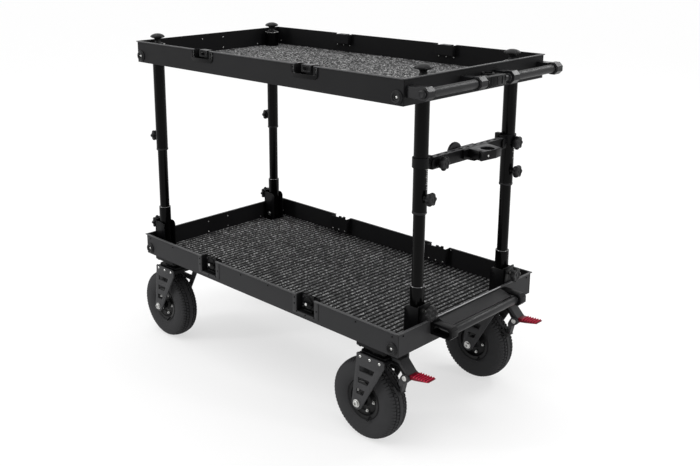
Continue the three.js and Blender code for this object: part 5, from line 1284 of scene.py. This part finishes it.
def carpet_finish(name, shades, gap_shade, rib_mm=None):
    tree, shader = new_surface(name, Roughness=0.95, Specular_IOR_Level=0.1)
    place = add_node(tree, "TexCoord").outputs["Object"]
    loop_size = {"Scale": per_metre(LOOP_MM), "Randomness": 0.9}
    loops = add_node(tree, "TexVoronoi", loop_size, {"Vector": place})
    grey = add_node(tree, "SeparateColor", {}, {"Color": loops.outputs["Color"]})
    ramp = add_node(tree, "ValToRGB", {}, {"Fac": grey.outputs["Red"]})
    stops = ramp.color_ramp.elements
    while len(stops) < len(shades):
        stops.new(0.5)
    for stop, (position, colour) in zip(stops, shades):
        stop.position, stop.color = position, linear(colour)
    # Painted shade: each loop darkens towards its edge, where the loops part.
    gap = remapped(tree, loops.outputs["Distance"], (0.2, 0.85), (1.0, gap_shade))
    colour = product(tree, ramp.outputs["Color"], gap)
    if rib_mm:
        axis = add_node(tree, "SeparateXYZ", {}, {"Vector": place}).outputs["X"]
        turns = {"operation": "MULTIPLY", 1: 2 * math.pi * per_metre(rib_mm)}
        phase = add_node(tree, "Math", turns, {0: axis})
        wave = add_node(tree, "Math", {"operation": "COSINE"}, {0: phase.outputs[0]})
        # Painted shade: the colour darkens almost to black in the grooves between the ribs.
        rib = remapped(tree, wave.outputs[0], (-0.5, 0.5), (0.04, 1.0))
        colour = product(tree, colour, rib)
    depth = {"Strength": 0.8, "Distance": 1.2 * MM, "invert": True}
    bump = add_node(tree, "Bump", depth, {"Height": loops.outputs["Distance"]})
    tree.links.new(colour, shader.inputs["Base Color"])
    tree.links.new(bump.outputs["Normal"], shader.inputs["Normal"])


LOOP_SHADES = [(0.0, "#121213"), (0.3, "#3a3a3b"), (0.65, "#747474"), (1.0, "#cccccc")]
RIB_SHADES = [(0.0, "#404041"), (0.4, "#5e5e5f"), (0.75, "#7c7c7c"), (1.0, "#c0c0c0")]
carpet_finish("loop_pile_carpet", LOOP_SHADES, 0.25)
carpet_finish("ribbed_pile_carpet", RIB_SHADES, 0.5, RIB_MM)

# %% Carpet meshes
CARPET_LOW, CARPET_THICK = WALL + 0.3, 4
CARPET_X, CARPET_Y = HALF_LENGTH - WALL - 1, HALF_WIDTH - WALL - 1


def carpet(name, base, body, surface, step_x, step_y, height, is_cut):
    low = base + CARPET_LOW
    nx, ny = round(2 * CARPET_X / step_x), round(2 * CARPET_Y / step_y)
    bm = bmesh.new()
    grid = []
    for j in range(ny + 1):
        y = -CARPET_Y + 2 * CARPET_Y * j / ny
        xs = [-CARPET_X + 2 * CARPET_X * i / nx for i in range(nx + 1)]
        grid.append([bm.verts.new((x, y, low + height(x, y))) for x in xs])
    for j in range(ny):
        for i in range(nx):
            cell = (grid[j][i], grid[j][i + 1], grid[j + 1][i + 1], grid[j + 1][i])
            middle = sum((v.co for v in cell), Vector()) / 4
            if not any(is_cut(middle.x - x, middle.y - y, out) for _, x, y, out in LEGS):
                bm.faces.new(cell)
    loose = [v for v in bm.verts if not v.link_faces]
    bmesh.ops.delete(bm, geom=loose, context="VERTS")
    skin = bmesh.ops.extrude_face_region(bm, geom=bm.faces[:])
    for vert in (g for g in skin["geom"] if isinstance(g, bmesh.types.BMVert)):
        vert.co.z = low
    return piece(f"{name}_pile", bm, surface, body, [name], sharp=80)


random.seed(4)
loop_heights = {}


def loop_pile(x, y):
    key = (round(x), round(y))
    if key not in loop_heights:
        loop_heights[key] = CARPET_THICK - 1.2 + 1.2 * random.random()
    return loop_heights[key]


def ribbed_pile(x, y):
    return CARPET_THICK - 2 + 1.8 * max(-0.5, math.cos(2 * math.pi * (x + TRAY_X) / RIB_MM))


def round_the_sleeve(dx, dy, out):
    return math.hypot(dx, dy) < 25


def round_the_bracket(dx, dy, out):
    return dx * out > -25 and abs(dy) < 29


upper_carpet = carpet("upper_carpet", UPPER_BASE, "upper_shelf", "loop_pile_carpet", 5, 5,
                      loop_pile, round_the_sleeve)
lower_carpet = carpet("lower_carpet", LOWER_BASE, "cart_base", "ribbed_pile_carpet", RIB_MM / 8, 8,
                      ribbed_pile, round_the_bracket)
print("carpet points", len(upper_carpet.data.vertices), len(lower_carpet.data.vertices))

# %% [markdown]
# ## Floor and light
#
# The cart stands on a white floor that runs on behind it, as in a studio. Black metal shows
# little of its own colour and much of what it mirrors, so the surroundings are split: they are
# white where the camera or a reflection sees them, and about half as bright as a light source, so
# that colours come out as written. The floor glows for the same rays: that keeps it white and its
# shadow light. A wide overhead source keeps the floor even and the shadow soft.

# %% Studio floor
FLOOR_GLOW_SHARE = 0.6
FLOOR_REACH = 60.0
WHITE = {"Color": (1, 1, 1, 1)}


def seen_rays(tree):
    path = add_node(tree, "LightPath")
    total = path.outputs["Is Camera Ray"]
    for kind in ("Is Glossy Ray", "Is Transmission Ray"):
        added = {"operation": "ADD", "use_clamp": True}
        total = add_node(tree, "Math", added, {0: total, 1: path.outputs[kind]}).outputs[0]
    return total


r = FLOOR_REACH
floor_mesh = bpy.data.meshes.new("studio_floor")
floor_mesh.from_pydata([(-r, -r, 0), (r, -r, 0), (r, r, 0), (-r, r, 0)], [], [(0, 1, 2, 3)])
tree, shader = new_surface("white_floor_paint", Base_Color=linear("#fafafa"), Roughness=0.9,
                           Specular_IOR_Level=0.1)
glow = add_node(tree, "Emission", {**WHITE, "Strength": 1.0})
share = add_node(tree, "Math", {"operation": "MULTIPLY", 1: FLOOR_GLOW_SHARE},
                 {0: seen_rays(tree)})
mixed = add_node(tree, "MixShader", {},
                 {0: share.outputs[0], 1: shader.outputs[0], 2: glow.outputs[0]})
tree.links.new(mixed.outputs[0], tree.nodes["Material Output"].inputs["Surface"])
floor_mesh.materials.append(finishes["white_floor_paint"])
floor = add_object("studio_floor", floor_mesh)

# %% Surroundings
AMBIENT = 0.55
world = bpy.data.worlds.new("studio_world")
bpy.context.scene.world = world
world.use_nodes = True
tree = world.node_tree
tree.nodes.clear()
even = add_node(tree, "Background", {**WHITE, "Strength": AMBIENT})
white = add_node(tree, "Background", {**WHITE, "Strength": 1.0})
seen = add_node(tree, "MixShader", {},
                {0: seen_rays(tree), 1: even.outputs[0], 2: white.outputs[0]})
add_node(tree, "OutputWorld", {}, {"Surface": seen.outputs[0]})

# %% Lamps
OVERHEAD_SPREAD = math.radians(70)


def aim(name, light, place, target):
    lamp = add_object(name, light)
    lamp.location = place
    lamp.rotation_euler = (Vector(target) - Vector(place)).to_track_quat("-Z", "Y").to_euler()


def softbox(name, place, size, watts):
    light = bpy.data.lights.new(name, "AREA")
    light.shape = "RECTANGLE"
    light.size, light.size_y = size
    light.energy = watts
    aim(name, light, place, (0, 0, 0.5))


overhead = bpy.data.lights.new("overhead_panel", "SUN")
overhead.energy = 1.5
overhead.angle = OVERHEAD_SPREAD
aim("overhead_panel", overhead, (-0.6, -0.8, 4.0), (0, 0, 0))
softbox("front_softbox", (-2.4, -3.6, 1.6), (0.5, 2.2), 60)
softbox("side_softbox", (4.0, 0.8, 1.6), (0.4, 2.2), 36)
softbox("back_softbox", (1.4, 3.4, 3.4), (2.2, 0.8), 60)

# %% [markdown]
# ## Camera
#
# The camera stands where the photographer stood. The edges of both trays, the legs and the wheels
# give its distance and focal length, and they say that it was held almost level with its picture
# shifted far up. So large a shift would push the cart out of views from other sides, so here only
# a third of it is kept, and the camera looks down by 14 degrees.

# %% Camera at the photograph's view
VIEW_AZIMUTH, VIEW_ELEVATION, VIEW_ROLL = (math.radians(a) for a in (46.112, 14.101, -0.32))
FOCAL_PX, FRAME_PX = 898.0, 700
SHIFT_PX = (49, -75)
CAMERA_MM = (1857.6, -1895.9, 1325.2)

camera_data = bpy.data.cameras.new("studio_camera")
camera_data.lens = camera_data.sensor_width * FOCAL_PX / FRAME_PX
camera_data.shift_x, camera_data.shift_y = (px / FRAME_PX for px in SHIFT_PX)
camera = add_object("studio_camera", camera_data)
back = Vector((
    math.sin(VIEW_AZIMUTH) * math.cos(VIEW_ELEVATION),
    -math.cos(VIEW_AZIMUTH) * math.cos(VIEW_ELEVATION),
    math.sin(VIEW_ELEVATION),
))
right = Vector((0, 0, 1)).cross(back).normalized()
above = back.cross(right)
rolled_right = math.cos(VIEW_ROLL) * right + math.sin(VIEW_ROLL) * above
rolled_up = math.cos(VIEW_ROLL) * above - math.sin(VIEW_ROLL) * right
turn = Matrix((rolled_right, rolled_up, back)).transposed().to_4x4()
spot = Vector((CAMERA_MM[0] + TRAY_X, CAMERA_MM[1], CAMERA_MM[2])) * MM
camera.matrix_world = Matrix.Translation(spot) @ turn
bpy.context.scene.camera = camera
bpy.context.scene.view_settings.view_transform = "Standard"
print("camera at", list(camera.location))

# %% [markdown]
# ## The end
#
# The looks must stay inside the solids' box. The scene is brought up to date at the end.

# %% Finish
bpy.context.view_layer.update()
